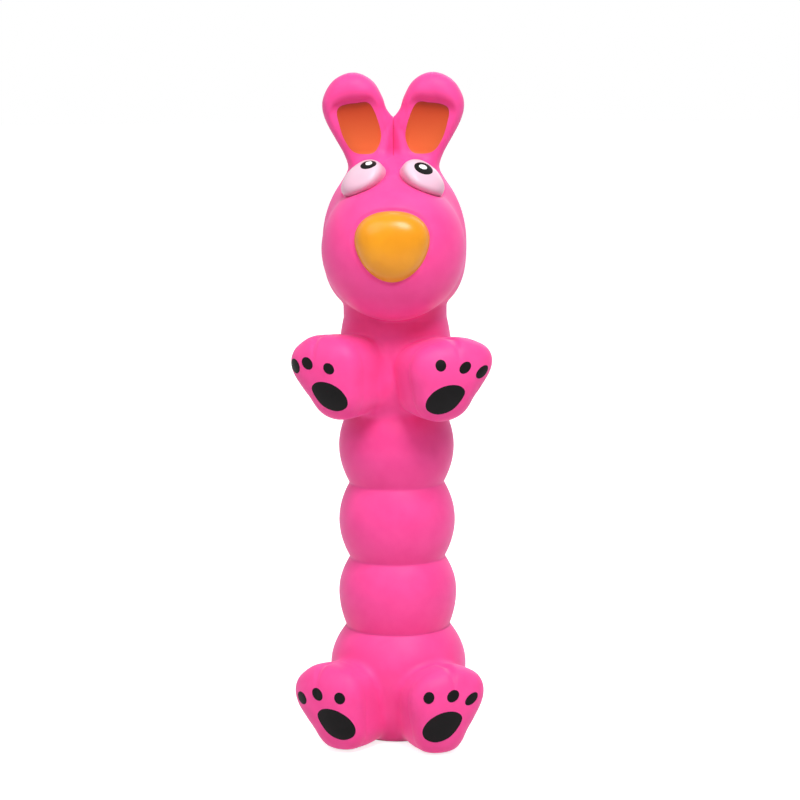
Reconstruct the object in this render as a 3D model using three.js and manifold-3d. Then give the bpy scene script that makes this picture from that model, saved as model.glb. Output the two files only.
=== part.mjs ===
// A squeaky dog toy of moulded latex: a tall, ringed body that sits upright, with a
// round-muzzled head, two lobed ears and four stub paws. Millimetres, +Z up. The toy
// faces -Y and stands on the floor at Z 0. Its own left side is +X.
// The skin is one hollow moulding on the real toy. Here it is divided at the folds
// where it bends, and each fold is a ring of its own between two zones.

import * as THREE from "three";
import { mergeVertices } from "three/addons/utils/BufferGeometryUtils.js";
import Module from "manifold-3d";

const wasm = await Module();
wasm.setup();

// The skin, its folds and the clearance that every neighbour keeps.
const SKIN_WALL = 2;
const BASE_WALL = 2.4;
const CLEARANCE = 0.3;
const CREASE_SPLIT = 3.6;
const LIMB_SPLIT = 2.4;
const EAR_SPLIT = 2.4;
const FILL_GAP = 1.6;
const PAINT_FILM = 0.5;
const FOLD_FLARE = 0.8;

// The body, from the floor up: the height and the widest radius of each zone.
const HIP_HEIGHT = 33.5;
const HIP_RADIUS = 20.5;
const HIP_WIDEST_AT = 21.5;
const BASE_RADIUS = 14.5;
const LOW_BELLY_HEIGHT = 21.2;
const LOW_BELLY_RADIUS = 17.8;
const MID_BELLY_HEIGHT = 22.8;
const MID_BELLY_RADIUS = 17.5;
const TOP_BELLY_HEIGHT = 22.5;
const TOP_BELLY_RADIUS = 17.3;
const CHEST_HEIGHT = 27.5;
const CHEST_RADIUS = 17.3;

// The radius at the bottom of each fold, from the hip up to the neck.
const HIP_CREASE_RADIUS = 15.6;
const LOW_CREASE_RADIUS = 14.3;
const MID_CREASE_RADIUS = 14.2;
const CHEST_CREASE_RADIUS = 14.1;
const NECK_RADIUS = 15;

// The skull stands on the neck, and the muzzle is a ball in front of it.
const SKULL_WIDEST_ABOVE_NECK = 22.5;
const SKULL_HALF_WIDTH = 21.3;
const SKULL_HALF_DEPTH = 18;
const SKULL_RISE = 26;
const SKULL_DROP = 22;
const COLLAR_HEIGHT = 7;
const BROW_FORWARD = 7;
const BROW_ABOVE_NECK = 35;
const BROW_HALF_WIDTH = 14;
const BROW_HALF_DEPTH = 10.5;
const BROW_HALF_HEIGHT = 10;
const MUZZLE_FORWARD = 14.6;
const MUZZLE_ABOVE_NECK = 21.7;
const MUZZLE_HALF_WIDTH = 19.8;
const MUZZLE_HALF_DEPTH = 19.5;
const MUZZLE_HALF_HEIGHT = 20.9;

// The nose is a raised button with a flat top and a narrow chin.
const NOSE_ABOVE_NECK = 23.6;
const NOSE_HALF_WIDTH = 11.1;
const NOSE_HALF_HEIGHT = 11;
const NOSE_PROUD = 2.6;
const NOSE_EDGE = 6;

// The eyes bulge where the muzzle meets the brow.
const EYE_OUT = 8.7;
const EYE_FORWARD = 11.4;
const EYE_ABOVE_NECK = 41.3;
const EYE_HALF_WIDTH = 7.1;
const EYE_HALF_DEPTH = 6.4;
const EYE_HALF_HEIGHT = 5.7;
const EYE_SLOPE = 24;
const PUPIL_HALF_WIDTH = 2.7;
const PUPIL_HALF_HEIGHT = 1.9;
const GLINT_HALF_WIDTH = 1.1;
const GLINT_HALF_HEIGHT = 0.7;
const PUPIL_TURN = -9;
const PUPIL_LIFT = 33;

// The ears: each a lobe on a tapering root, with a pocket in its front.
const EAR_FOLD_ABOVE_NECK = 46.2;
const EAR_HEIGHT = 26.3;
const EAR_ROOT_REACH = 13.9;
const EAR_LOBE_RADIUS = 9;
const EAR_LOBE_OUT = 11.7;
const EAR_NOTCH_DEPTH = 13.5;
const EAR_LOBE_DEPTH = 10.4;
const EAR_ROOT_DEPTH = 12.4;
const EAR_CURL = 1.6;
const EAR_WEB = 2;
const EAR_POCKET_DEPTH = 2.6;
const EAR_LINING = 0.8;

// The paws: stubs that run out and forward, and end in a broad domed sole.
const LIMB_TURN = 38;
const SOLE_TURN = 18;
const LIMB_ROOT_PROUD = 1.4;
const LIMB_REACH = 26;
const LIMB_INSIDE = 9;
const SOLE_DOME = 9;
const ARM_HALF_WIDTH = 14.4;
const ARM_HALF_HEIGHT = 12.3;
const ARM_ABOVE_CREASE = 11.9;
const LEG_HALF_WIDTH = 13.1;
const LEG_HALF_HEIGHT = 12.9;
const FOOT_FLAT = 0.5;
const PAD_HALF_LENGTH = 6;
const PAD_HALF_WIDTH = 4.7;
const TOE_SPOT_RADIUS = 1.5;

// The squeaker: a flanged cup in the hole of the base, with a reed on a plate inside.
const SQUEAKER_RADIUS = 9;
const SQUEAKER_HEIGHT = 11;
const SQUEAKER_WALL = 1;
const SQUEAKER_FLOOR = 1.4;
const FLANGE_REACH = 1.4;
const FLANGE_THICKNESS = 0.8;
const VENT_RADIUS = 1.6;
const LEDGE_WIDTH = 1.2;
const LEDGE_HEIGHT = 2;
const REED_PLATE_THICKNESS = 1.2;
const REED_SLOT_LENGTH = 8;
const REED_SLOT_WIDTH = 2.4;
const REED_LENGTH = 10;
const REED_WIDTH = 3.6;
const REED_THICKNESS = 0.4;
const CAP_THICKNESS = 1.4;
const CAP_HOLE_RADIUS = 2.2;

// Overrun for cutting blocks, and the distance that merges doubled vertices.
const OVERRUN = 260;
const MERGE_DISTANCE = 0.0001;

// Counts of faces.
const BODY_SIDES = 20;
const ZONE_ROWS = 6;
const INNER_ROWS = 3;
const BALL_SIDES = 18;
const BALL_ROWS = 8;
const OUTLINE_POINTS = 14;
const DOME_ROWS = 4;
const STUB_ROWS = 3;
const SQUEAKER_SIDES = 16;
const PATCH_SIDES = 8;

// Shares of the sizes that they follow, and the powers of the curves between them.
const SOLE_OUTLINE_SHARES = [
  [-0.8, -0.78], [-0.38, -1], [0.1, -0.92], [0.56, -0.36], [0.96, 0.24],
  [0.9, 0.72], [0.42, 1], [-0.28, 1], [-0.84, 0.72], [-0.97, 0.1],
];
const NOSE_OUTLINE_SHARES = [
  [-0.84, -0.3], [-0.46, -0.8], [0, -1], [0.46, -0.8], [0.84, -0.3], [1, 0.2],
  [0.88, 0.62], [0.5, 0.92], [0, 1], [-0.5, 0.92], [-0.88, 0.62], [-1, 0.2],
];
const EAR_POCKET_SHARES = [
  [0.27, 0.655], [0.79, 0.635], [0.71, 0.42], [0.575, 0.115],
  [0.4, 0.075], [0.235, 0.115], [0.145, 0.33],
];
const SHOULDER_SHARE = 0.7;
const TIP_SHARE = 0.07;
const FILL_HUB_SHARE = 0.35;
const ROUND_POWER = 2;
const DOME_POWER = 2.4;
const SKULL_LOW_POWER = 2.7;
const EAR_TAPER_POWER = 1.35;
const EAR_SECTION_POWER = 2.3;

const materials = {
  latex: new THREE.MeshStandardMaterial({ color: 0xf8489c, roughness: 0.55, metalness: 0 }),
  fold: new THREE.MeshStandardMaterial({ color: 0xd0307c, roughness: 0.6, metalness: 0 }),
  nosePaint: new THREE.MeshStandardMaterial({ color: 0xf2a822, roughness: 0.35, metalness: 0 }),
  earPaint: new THREE.MeshStandardMaterial({ color: 0xe9673a, roughness: 0.5, metalness: 0 }),
  eyePaint: new THREE.MeshStandardMaterial({ color: 0xf8d3e2, roughness: 0.4, metalness: 0 }),
  blackPaint: new THREE.MeshStandardMaterial({ color: 0x1c181a, roughness: 0.4, metalness: 0 }),
  whitePaint: new THREE.MeshStandardMaterial({ color: 0xffffff, roughness: 0.35, metalness: 0 }),
  fibre: new THREE.MeshStandardMaterial({ color: 0xf4f2ee, roughness: 0.95, metalness: 0 }),
  plastic: new THREE.MeshStandardMaterial({ color: 0xf1f1ec, roughness: 0.45, metalness: 0 }),
  reedPlastic: new THREE.MeshStandardMaterial({ color: 0xd8dde2, roughness: 0.3, metalness: 0 }),
};

// Heights of the folds above the floor.
const HIP_CREASE_Z = HIP_HEIGHT;
const LOW_CREASE_Z = HIP_CREASE_Z + LOW_BELLY_HEIGHT;
const MID_CREASE_Z = LOW_CREASE_Z + MID_BELLY_HEIGHT;
const CHEST_CREASE_Z = MID_CREASE_Z + TOP_BELLY_HEIGHT;
const NECK_Z = CHEST_CREASE_Z + CHEST_HEIGHT;
const EAR_FOLD_Z = NECK_Z + EAR_FOLD_ABOVE_NECK;

// A closed geometry as a solid that can be joined and cut.
function solidOf(geometry) {
  const bare = geometry.clone();
  bare.deleteAttribute("normal");
  bare.deleteAttribute("uv");
  const merged = mergeVertices(bare, MERGE_DISTANCE);
  const corners = merged.index.array;
  const kept = [];
  for (let i = 0; i < corners.length; i += 3) {
    const [a, b, c] = corners.slice(i, i + 3);
    if (a !== b && b !== c && c !== a) kept.push(a, b, c);
  }
  return new wasm.Manifold(
    new wasm.Mesh({
      numProp: 3,
      vertProperties: merged.attributes.position.array,
      triVerts: new Uint32Array(kept),
    }),
  );
}

// A solid as a geometry that a mesh can carry.
function geometryOf(solid) {
  const mesh = solid.getMesh();
  const geometry = new THREE.BufferGeometry();
  geometry.setAttribute("position", new THREE.BufferAttribute(mesh.vertProperties, 3));
  geometry.setIndex(new THREE.BufferAttribute(mesh.triVerts, 1));
  geometry.computeVertexNormals();
  return geometry;
}

// The same solid on the toy's other side.
function mirrored(solid) {
  const geometry = geometryOf(solid);
  geometry.scale(-1, 1, 1);
  const index = geometry.index.array;
  for (let i = 0; i < index.length; i += 3) {
    [index[i + 1], index[i + 2]] = [index[i + 2], index[i + 1]];
  }
  return solidOf(geometry);
}

// Everything on the far side of a plane that crosses the point square to the direction.
function beyond(point, direction) {
  const block = new THREE.BoxGeometry(OVERRUN, OVERRUN, OVERRUN);
  block.translate(0, 0, OVERRUN / 2);
  const turn = new THREE.Quaternion().setFromUnitVectors(new THREE.Vector3(0, 0, 1), direction);
  block.applyQuaternion(turn);
  block.translate(point.x, point.y, point.z);
  return solidOf(block);
}

const UP = new THREE.Vector3(0, 0, 1);
const DOWN = new THREE.Vector3(0, 0, -1);

function above(z) {
  return beyond(new THREE.Vector3(0, 0, z), UP);
}

function below(z) {
  return beyond(new THREE.Vector3(0, 0, z), DOWN);
}

// A turned solid: the profile's points are (radius, height), up the outside first.
function turned(profile, sides) {
  const points = profile.map(([radius, z]) => new THREE.Vector2(radius, z));
  points.push(points[0].clone());
  const geometry = new THREE.LatheGeometry(points, sides);
  geometry.rotateX(Math.PI / 2);
  return solidOf(geometry);
}

// A ball with its own half sizes along X and Y, and up and down.
function ball(center, halfWidth, halfDepth, rise, drop, lowPower) {
  const points = [];
  for (let row = 0; row <= BALL_ROWS; row += 1) {
    const angle = (row / BALL_ROWS - 0.5) * Math.PI;
    const power = angle < 0 ? lowPower : ROUND_POWER;
    const height = Math.sin(angle);
    const width = (1 - Math.abs(height) ** power) ** (1 / power);
    points.push(new THREE.Vector2(width, height * (angle < 0 ? drop : rise)));
  }
  const geometry = new THREE.LatheGeometry(points, BALL_SIDES);
  geometry.rotateX(Math.PI / 2);
  geometry.scale(halfWidth, halfDepth, 1);
  geometry.translate(center.x, center.y, center.z);
  return solidOf(geometry);
}

// A loft through rings of points, closed by a fan at each end.
function loft(rings) {
  const count = rings[0].length;
  const positions = [];
  const index = [];
  for (const ring of rings) {
    for (const point of ring) positions.push(point.x, point.y, point.z);
  }
  for (let i = 0; i + 1 < rings.length; i += 1) {
    for (let j = 0; j < count; j += 1) {
      const a = i * count + j;
      const b = i * count + (j + 1) % count;
      index.push(a, b, b + count, a, b + count, a + count);
    }
  }
  for (const end of [0, rings.length - 1]) {
    const middle = new THREE.Vector3();
    for (const point of rings[end]) middle.addScaledVector(point, 1 / count);
    const hub = positions.length / 3;
    positions.push(middle.x, middle.y, middle.z);
    for (let j = 0; j < count; j += 1) {
      const a = end * count + j;
      const b = end * count + (j + 1) % count;
      if (end === 0) index.push(hub, b, a);
      else index.push(hub, a, b);
    }
  }
  const geometry = new THREE.BufferGeometry();
  geometry.setAttribute("position", new THREE.Float32BufferAttribute(positions, 3));
  geometry.setIndex(index);
  return solidOf(geometry);
}

// A smooth closed outline through the points of a table of shares.
function outlineOf(shares, halfWidth, halfHeight, count) {
  const points = shares.map(([u, v]) => new THREE.Vector3(u * halfWidth, v * halfHeight, 0));
  const curve = new THREE.CatmullRomCurve3(points, true);
  return curve.getPoints(count).slice(0, count);
}

// Rows of one zone's wall from one fold to the next, as (radius, height).
function zoneRows(zone, inset, rows, low, high) {
  const points = [];
  for (let row = 0; row <= rows; row += 1) {
    const z = low + ((high - low) * row) / rows;
    const under = z < zone.widestZ;
    const end = under ? zone.lowZ : zone.highZ;
    const rim = under ? zone.lowRadius : zone.highRadius;
    const share = (z - zone.widestZ) / (end - zone.widestZ);
    points.push([zone.radius - (zone.radius - rim) * share * share - inset, z]);
  }
  return points;
}

// The hollow skin of a zone between two folds, open at both rims.
function zoneSkin(zone) {
  const low = zone.lowZ + CREASE_SPLIT / 2;
  const high = zone.highZ - CREASE_SPLIT / 2;
  const outer = zoneRows(zone, 0, ZONE_ROWS, low, high);
  const inner = zoneRows(zone, SKIN_WALL, INNER_ROWS, low, high);
  return turned([...outer, ...inner.reverse()], BODY_SIDES);
}

// How far a wad of fibre domes past the rim of its zone.
const fillTip = (CREASE_SPLIT - FILL_GAP) / 2;

// The wad of fibre inside a zone: it keeps clear of the skin, and its ends are domed
// so that the wads above and below it don't meet when the toy bends.
function zoneFill(zone) {
  const low = zone.lowZ + CREASE_SPLIT / 2;
  const high = zone.highZ - CREASE_SPLIT / 2;
  const wall = zoneRows(zone, SKIN_WALL + CLEARANCE, INNER_ROWS, low, high);
  const hub = zone.radius * FILL_HUB_SHARE;
  return turned(
    [[0, low - fillTip], [hub, low - fillTip], ...wall, [hub, high + fillTip], [0, high + fillTip]],
    BODY_SIDES,
  );
}

// The ring of skin at the bottom of a fold.
function foldRing(z, radius) {
  const half = CREASE_SPLIT / 2 - CLEARANCE;
  const inside = radius - SKIN_WALL;
  return turned(
    [[radius + FOLD_FLARE, z - half], [radius, z], [radius + FOLD_FLARE, z + half],
      [inside, z + half], [inside, z - half]],
    BODY_SIDES,
  );
}

// A stub with a domed sole: rings of one outline that slide along the limb and shrink
// over the dome. Grow swells it, or shrinks it when it is negative.
function stub(limb, grow) {
  const along = directionOf(LIMB_TURN, 0);
  const face = directionOf(SOLE_TURN, 0);
  const across = new THREE.Vector3(-face.y, face.x, 0);
  const outline = outlineOf(
    SOLE_OUTLINE_SHARES, limb.halfWidth + grow, limb.halfHeight + grow, OUTLINE_POINTS,
  );
  const rings = [];
  const place = (center, share) => {
    rings.push(outline.map((p) => center.clone()
      .addScaledVector(across, p.x * share)
      .addScaledVector(UP, p.y * share)));
  };
  const height = new THREE.Vector3(0, 0, limb.z);
  for (let row = 0; row < STUB_ROWS; row += 1) {
    const share = row / STUB_ROWS;
    const run = LIMB_INSIDE + (LIMB_REACH - LIMB_INSIDE) * share;
    const eased = Math.sin((share * Math.PI) / 2);
    place(height.clone().addScaledVector(along, run), SHOULDER_SHARE + (1 - SHOULDER_SHARE) * eased);
  }
  const start = height.clone().addScaledVector(along, LIMB_REACH);
  for (let row = 0; row < DOME_ROWS; row += 1) {
    const angle = ((row / DOME_ROWS) * Math.PI) / 2;
    const out = Math.sin(angle);
    const share = (1 - out ** DOME_POWER) ** (1 / DOME_POWER);
    place(start.clone().addScaledVector(face, out * (SOLE_DOME + grow)), share);
  }
  const last = (1 - TIP_SHARE ** DOME_POWER) ** (1 / DOME_POWER);
  place(start.clone().addScaledVector(face, last * (SOLE_DOME + grow)), TIP_SHARE);
  return loft(rings);
}

// A direction by its turn from straight ahead towards the toy's left, and its lift.
function directionOf(turn, lift) {
  const yaw = THREE.MathUtils.degToRad(turn);
  const pitch = THREE.MathUtils.degToRad(lift);
  return new THREE.Vector3(
    Math.sin(yaw) * Math.cos(pitch), -Math.cos(yaw) * Math.cos(pitch), Math.sin(pitch),
  );
}

// An oval prism that runs from a point in the given direction, rolled about it.
function ovalBeam(from, direction, halfWidth, halfHeight, roll) {
  const beam = new THREE.CylinderGeometry(1, 1, 1, PATCH_SIDES);
  beam.translate(0, 1 / 2, 0);
  beam.rotateX(-Math.PI / 2);
  beam.scale(halfWidth, halfHeight, OVERRUN);
  beam.rotateZ(THREE.MathUtils.degToRad(roll));
  const view = new THREE.Matrix4().lookAt(new THREE.Vector3(), direction, UP);
  beam.applyMatrix4(view);
  beam.translate(from.x, from.y, from.z);
  return solidOf(beam);
}

// A film of paint: the layer between two swollen copies of a form, inside a beam.
function paintPatch(layerOut, layerIn, beam) {
  return layerOut.intersect(beam).subtract(layerIn);
}

// The scene graph: one group for each body that moves, at its pivot.
const toy = new THREE.Group();

function bodyAt(parent, name, pivot) {
  const body = new THREE.Group();
  body.name = name;
  body.userData.pivot = pivot.clone();
  const parentPivot = parent.userData.pivot ?? new THREE.Vector3();
  body.position.copy(pivot).sub(parentPivot);
  parent.add(body);
  return body;
}

function addPart(body, name, solid, material) {
  const geometry = geometryOf(solid);
  const pivot = body.userData.pivot;
  geometry.translate(-pivot.x, -pivot.y, -pivot.z);
  const mesh = new THREE.Mesh(geometry, material);
  mesh.name = name;
  body.add(mesh);
}

const onAxis = (z) => new THREE.Vector3(0, 0, z);

// The zones of the body, from the hip up to the chest.
const zones = {
  hip: {
    lowZ: 0, lowRadius: BASE_RADIUS, widestZ: HIP_WIDEST_AT, radius: HIP_RADIUS,
    highZ: HIP_CREASE_Z, highRadius: HIP_CREASE_RADIUS,
  },
  lowBelly: {
    lowZ: HIP_CREASE_Z, lowRadius: HIP_CREASE_RADIUS, widestZ: HIP_CREASE_Z + LOW_BELLY_HEIGHT / 2,
    radius: LOW_BELLY_RADIUS, highZ: LOW_CREASE_Z, highRadius: LOW_CREASE_RADIUS,
  },
  midBelly: {
    lowZ: LOW_CREASE_Z, lowRadius: LOW_CREASE_RADIUS, widestZ: LOW_CREASE_Z + MID_BELLY_HEIGHT / 2,
    radius: MID_BELLY_RADIUS, highZ: MID_CREASE_Z, highRadius: MID_CREASE_RADIUS,
  },
  topBelly: {
    lowZ: MID_CREASE_Z, lowRadius: MID_CREASE_RADIUS, widestZ: MID_CREASE_Z + TOP_BELLY_HEIGHT / 2,
    radius: TOP_BELLY_RADIUS, highZ: CHEST_CREASE_Z, highRadius: CHEST_CREASE_RADIUS,
  },
  chest: {
    lowZ: CHEST_CREASE_Z, lowRadius: CHEST_CREASE_RADIUS, widestZ: CHEST_CREASE_Z + CHEST_HEIGHT / 2,
    radius: CHEST_RADIUS, highZ: NECK_Z, highRadius: NECK_RADIUS,
  },
};

// The limbs: where the sole's middle is, and how large it is.
const arm = {
  z: CHEST_CREASE_Z + ARM_ABOVE_CREASE,
  root: CHEST_RADIUS + LIMB_ROOT_PROUD,
  halfWidth: ARM_HALF_WIDTH,
  halfHeight: ARM_HALF_HEIGHT,
  pad: { turn: 18, lift: -20, roll: 25 },
  toes: [
    { turn: 9, lift: 22 },
    { turn: 41, lift: 19 },
    { turn: 63, lift: 11 },
  ],
};
const leg = {
  z: LEG_HALF_HEIGHT - FOOT_FLAT,
  root: HIP_RADIUS + LIMB_ROOT_PROUD,
  halfWidth: LEG_HALF_WIDTH,
  halfHeight: LEG_HALF_HEIGHT,
  pad: { turn: 14, lift: -13, roll: 15 },
  toes: [
    { turn: -5, lift: 24 },
    { turn: 28, lift: 24 },
    { turn: 51, lift: 17 },
  ],
};

const limbAlong = directionOf(LIMB_TURN, 0);

function limbPoint(z, run) {
  return onAxis(z).addScaledVector(limbAlong, run);
}

const innerCut = (limb) => limb.root - LIMB_SPLIT / 2;
const outerCut = (limb) => limb.root + LIMB_SPLIT / 2;

// The hollow limb beyond its fold, the ring of its fold, and the boss that carries it.
function limbSkin(limb) {
  return stub(limb, 0)
    .subtract(stub(limb, -SKIN_WALL))
    .intersect(beyond(limbPoint(limb.z, outerCut(limb)), limbAlong))
    .intersect(above(0));
}

function limbFold(limb) {
  return stub(limb, 0)
    .subtract(stub(limb, -SKIN_WALL))
    .intersect(beyond(limbPoint(limb.z, innerCut(limb) + CLEARANCE), limbAlong))
    .intersect(beyond(limbPoint(limb.z, outerCut(limb) - CLEARANCE), limbAlong.clone().negate()))
    .intersect(above(0));
}

function withBosses(outer, inner, limb, floor, ceiling) {
  const near = beyond(limbPoint(limb.z, innerCut(limb)), limbAlong.clone().negate());
  const boss = stub(limb, 0).intersect(near).intersect(above(floor)).intersect(below(ceiling));
  const hollow = stub(limb, -SKIN_WALL).intersect(above(floor + SKIN_WALL));
  const solid = outer.add(boss).add(mirrored(boss));
  return solid.subtract(inner).subtract(hollow).subtract(mirrored(hollow));
}

// The limb's paint: one pad on the heel of the sole and three toe spots above it.
function paintLimb(bodies, limb, name) {
  const heart = limbPoint(limb.z, LIMB_REACH - SOLE_DOME / 2);
  const layerOut = stub(limb, CLEARANCE + PAINT_FILM);
  const layerIn = stub(limb, CLEARANCE);
  const pad = paintPatch(layerOut, layerIn, ovalBeam(
    heart, directionOf(limb.pad.turn, limb.pad.lift), PAD_HALF_LENGTH, PAD_HALF_WIDTH, limb.pad.roll,
  ));
  addPart(bodies.left, `${name}_pad_left`, pad, materials.blackPaint);
  addPart(bodies.right, `${name}_pad_right`, mirrored(pad), materials.blackPaint);
  limb.toes.forEach((toe, i) => {
    const beam = ovalBeam(
      heart, directionOf(toe.turn, toe.lift), TOE_SPOT_RADIUS, TOE_SPOT_RADIUS, 0,
    );
    const spot = paintPatch(layerOut, layerIn, beam);
    addPart(bodies.left, `${name}_toe_spot_left_${i + 1}`, spot, materials.blackPaint);
    addPart(bodies.right, `${name}_toe_spot_right_${i + 1}`, mirrored(spot), materials.blackPaint);
  });
}

function addLimbs(parent, limb, name) {
  const pivot = limbPoint(limb.z, limb.root);
  const pivotRight = new THREE.Vector3(-pivot.x, pivot.y, pivot.z);
  const bodies = {
    left: bodyAt(parent, `${name}_left`, pivot),
    right: bodyAt(parent, `${name}_right`, pivotRight),
  };
  const skin = limbSkin(limb);
  const fold = limbFold(limb);
  addPart(bodies.left, `${name}_skin_left`, skin, materials.latex);
  addPart(bodies.right, `${name}_skin_right`, mirrored(skin), materials.latex);
  addPart(bodies.left, `${name}_fold_left`, fold, materials.fold);
  addPart(bodies.right, `${name}_fold_right`, mirrored(fold), materials.fold);
  paintLimb(bodies, limb, name);
}

// The hip: it stands on its flat base, whose hole holds the squeaker.
const seatRadius = SQUEAKER_RADIUS + CLEARANCE;
const boreRadius = SQUEAKER_RADIUS + FLANGE_REACH + CLEARANCE;
const counterboreTop = CLEARANCE + FLANGE_THICKNESS + CLEARANCE;

function hipSkin() {
  const zone = zones.hip;
  const high = zone.highZ - CREASE_SPLIT / 2;
  const outer = turned([[0, 0], ...zoneRows(zone, 0, ZONE_ROWS, 0, high), [0, high]], BODY_SIDES);
  const inner = turned(
    [[0, BASE_WALL], ...zoneRows(zone, SKIN_WALL, INNER_ROWS, BASE_WALL, high),
      [zone.highRadius - SKIN_WALL, high + CREASE_SPLIT], [0, high + CREASE_SPLIT]],
    BODY_SIDES,
  );
  const seat = turned(
    [[0, -BASE_WALL], [boreRadius, -BASE_WALL], [boreRadius, counterboreTop],
      [seatRadius, counterboreTop], [seatRadius, BASE_WALL + SKIN_WALL], [0, BASE_WALL + SKIN_WALL]],
    SQUEAKER_SIDES,
  );
  return withBosses(outer, inner, leg, 0, high).subtract(seat);
}

function hipFill() {
  const zone = zones.hip;
  const low = BASE_WALL + CLEARANCE;
  const high = zone.highZ - CREASE_SPLIT / 2;
  const wad = turned(
    [[0, low], ...zoneRows(zone, SKIN_WALL + CLEARANCE, INNER_ROWS, low, high),
      [zone.radius * FILL_HUB_SHARE, high + fillTip], [0, high + fillTip]],
    BODY_SIDES,
  );
  const top = SQUEAKER_HEIGHT + CLEARANCE;
  const room = [[0, 0], [boreRadius, 0], [boreRadius, top], [0, top]];
  return wad.subtract(turned(room, SQUEAKER_SIDES));
}

const root = bodyAt(toy, "hip", onAxis(0));
addPart(root, "hip_skin", hipSkin(), materials.latex);
addPart(root, "hip_fill", hipFill(), materials.fibre);
addLimbs(root, leg, "leg");

// The squeaker stands on its lower flange in the base, and the fibre holds it down.
const plateZ = CLEARANCE + SQUEAKER_FLOOR + LEDGE_HEIGHT + CLEARANCE;
const reedZ = plateZ + REED_PLATE_THICKNESS + CLEARANCE;
const capZ = SQUEAKER_HEIGHT - CAP_THICKNESS;
const boreInside = SQUEAKER_RADIUS - SQUEAKER_WALL;

function squeakerHousing() {
  const low = CLEARANCE;
  const upperFlange = BASE_WALL + CLEARANCE;
  const wide = SQUEAKER_RADIUS + FLANGE_REACH;
  const ledge = low + SQUEAKER_FLOOR + LEDGE_HEIGHT;
  return turned(
    [[VENT_RADIUS, low], [wide, low], [wide, low + FLANGE_THICKNESS],
      [SQUEAKER_RADIUS, low + FLANGE_THICKNESS], [SQUEAKER_RADIUS, upperFlange], [wide, upperFlange],
      [wide, upperFlange + FLANGE_THICKNESS], [SQUEAKER_RADIUS, upperFlange + FLANGE_THICKNESS],
      [SQUEAKER_RADIUS, capZ - CLEARANCE], [boreInside, capZ - CLEARANCE], [boreInside, ledge],
      [boreInside - LEDGE_WIDTH, ledge], [boreInside - LEDGE_WIDTH, low + SQUEAKER_FLOOR],
      [VENT_RADIUS, low + SQUEAKER_FLOOR]],
    SQUEAKER_SIDES,
  );
}

function reedPlate() {
  const radius = boreInside - CLEARANCE;
  const disc = turned(
    [[0, plateZ], [radius, plateZ], [radius, plateZ + REED_PLATE_THICKNESS],
      [0, plateZ + REED_PLATE_THICKNESS]],
    SQUEAKER_SIDES,
  );
  const slot = new THREE.BoxGeometry(REED_SLOT_LENGTH, REED_SLOT_WIDTH, OVERRUN);
  return disc.subtract(solidOf(slot));
}

function reed() {
  const strip = new THREE.BoxGeometry(REED_LENGTH, REED_WIDTH, REED_THICKNESS);
  strip.translate(0, 0, reedZ + REED_THICKNESS / 2);
  return solidOf(strip);
}

function squeakerCap() {
  const radius = SQUEAKER_RADIUS;
  const spigot = boreInside - CLEARANCE;
  const low = capZ - CAP_THICKNESS;
  return turned(
    [[CAP_HOLE_RADIUS, low], [spigot, low], [spigot, capZ], [radius, capZ],
      [radius, SQUEAKER_HEIGHT], [CAP_HOLE_RADIUS, SQUEAKER_HEIGHT]],
    SQUEAKER_SIDES,
  );
}

addPart(root, "squeaker_housing", squeakerHousing(), materials.plastic);
addPart(root, "squeaker_reed_plate", reedPlate(), materials.plastic);
addPart(root, "squeaker_cap", squeakerCap(), materials.plastic);
const reedBody = bodyAt(root, "reed", new THREE.Vector3(-REED_LENGTH / 2, 0, reedZ));
addPart(reedBody, "squeaker_reed", reed(), materials.reedPlastic);

// The belly rings, each on the fold below it.
let carrier = root;
const bellyZones = [
  { name: "low_belly", fold: "hip_fold", zone: zones.lowBelly },
  { name: "mid_belly", fold: "low_belly_fold", zone: zones.midBelly },
  { name: "top_belly", fold: "mid_belly_fold", zone: zones.topBelly },
];
for (const { name, fold, zone } of bellyZones) {
  const foldBody = bodyAt(carrier, fold, onAxis(zone.lowZ));
  addPart(foldBody, `${fold}_ring`, foldRing(zone.lowZ, zone.lowRadius), materials.fold);
  carrier = bodyAt(foldBody, name, onAxis(zone.lowZ));
  addPart(carrier, `${name}_skin`, zoneSkin(zone), materials.latex);
  addPart(carrier, `${name}_fill`, zoneFill(zone), materials.fibre);
}

// The chest carries the arms. Their bosses keep between its rims.
function chestSkin() {
  const zone = zones.chest;
  const low = zone.lowZ + CREASE_SPLIT / 2;
  const high = zone.highZ - CREASE_SPLIT / 2;
  const outer = turned([[0, low], ...zoneRows(zone, 0, ZONE_ROWS, low, high), [0, high]], BODY_SIDES);
  const inner = turned(
    [[0, zone.lowZ], [zone.lowRadius - SKIN_WALL, zone.lowZ],
      ...zoneRows(zone, SKIN_WALL, INNER_ROWS, low, high),
      [zone.highRadius - SKIN_WALL, zone.highZ], [0, zone.highZ]],
    BODY_SIDES,
  );
  return withBosses(outer, inner, arm, low, high);
}

const chestFoldBody = bodyAt(carrier, "top_belly_fold", onAxis(CHEST_CREASE_Z));
addPart(
  chestFoldBody, "top_belly_fold_ring", foldRing(CHEST_CREASE_Z, CHEST_CREASE_RADIUS), materials.fold,
);
const chest = bodyAt(chestFoldBody, "chest", onAxis(CHEST_CREASE_Z));
addPart(chest, "chest_skin", chestSkin(), materials.latex);
addPart(chest, "chest_fill", zoneFill(zones.chest), materials.fibre);
addLimbs(chest, arm, "arm");

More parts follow.
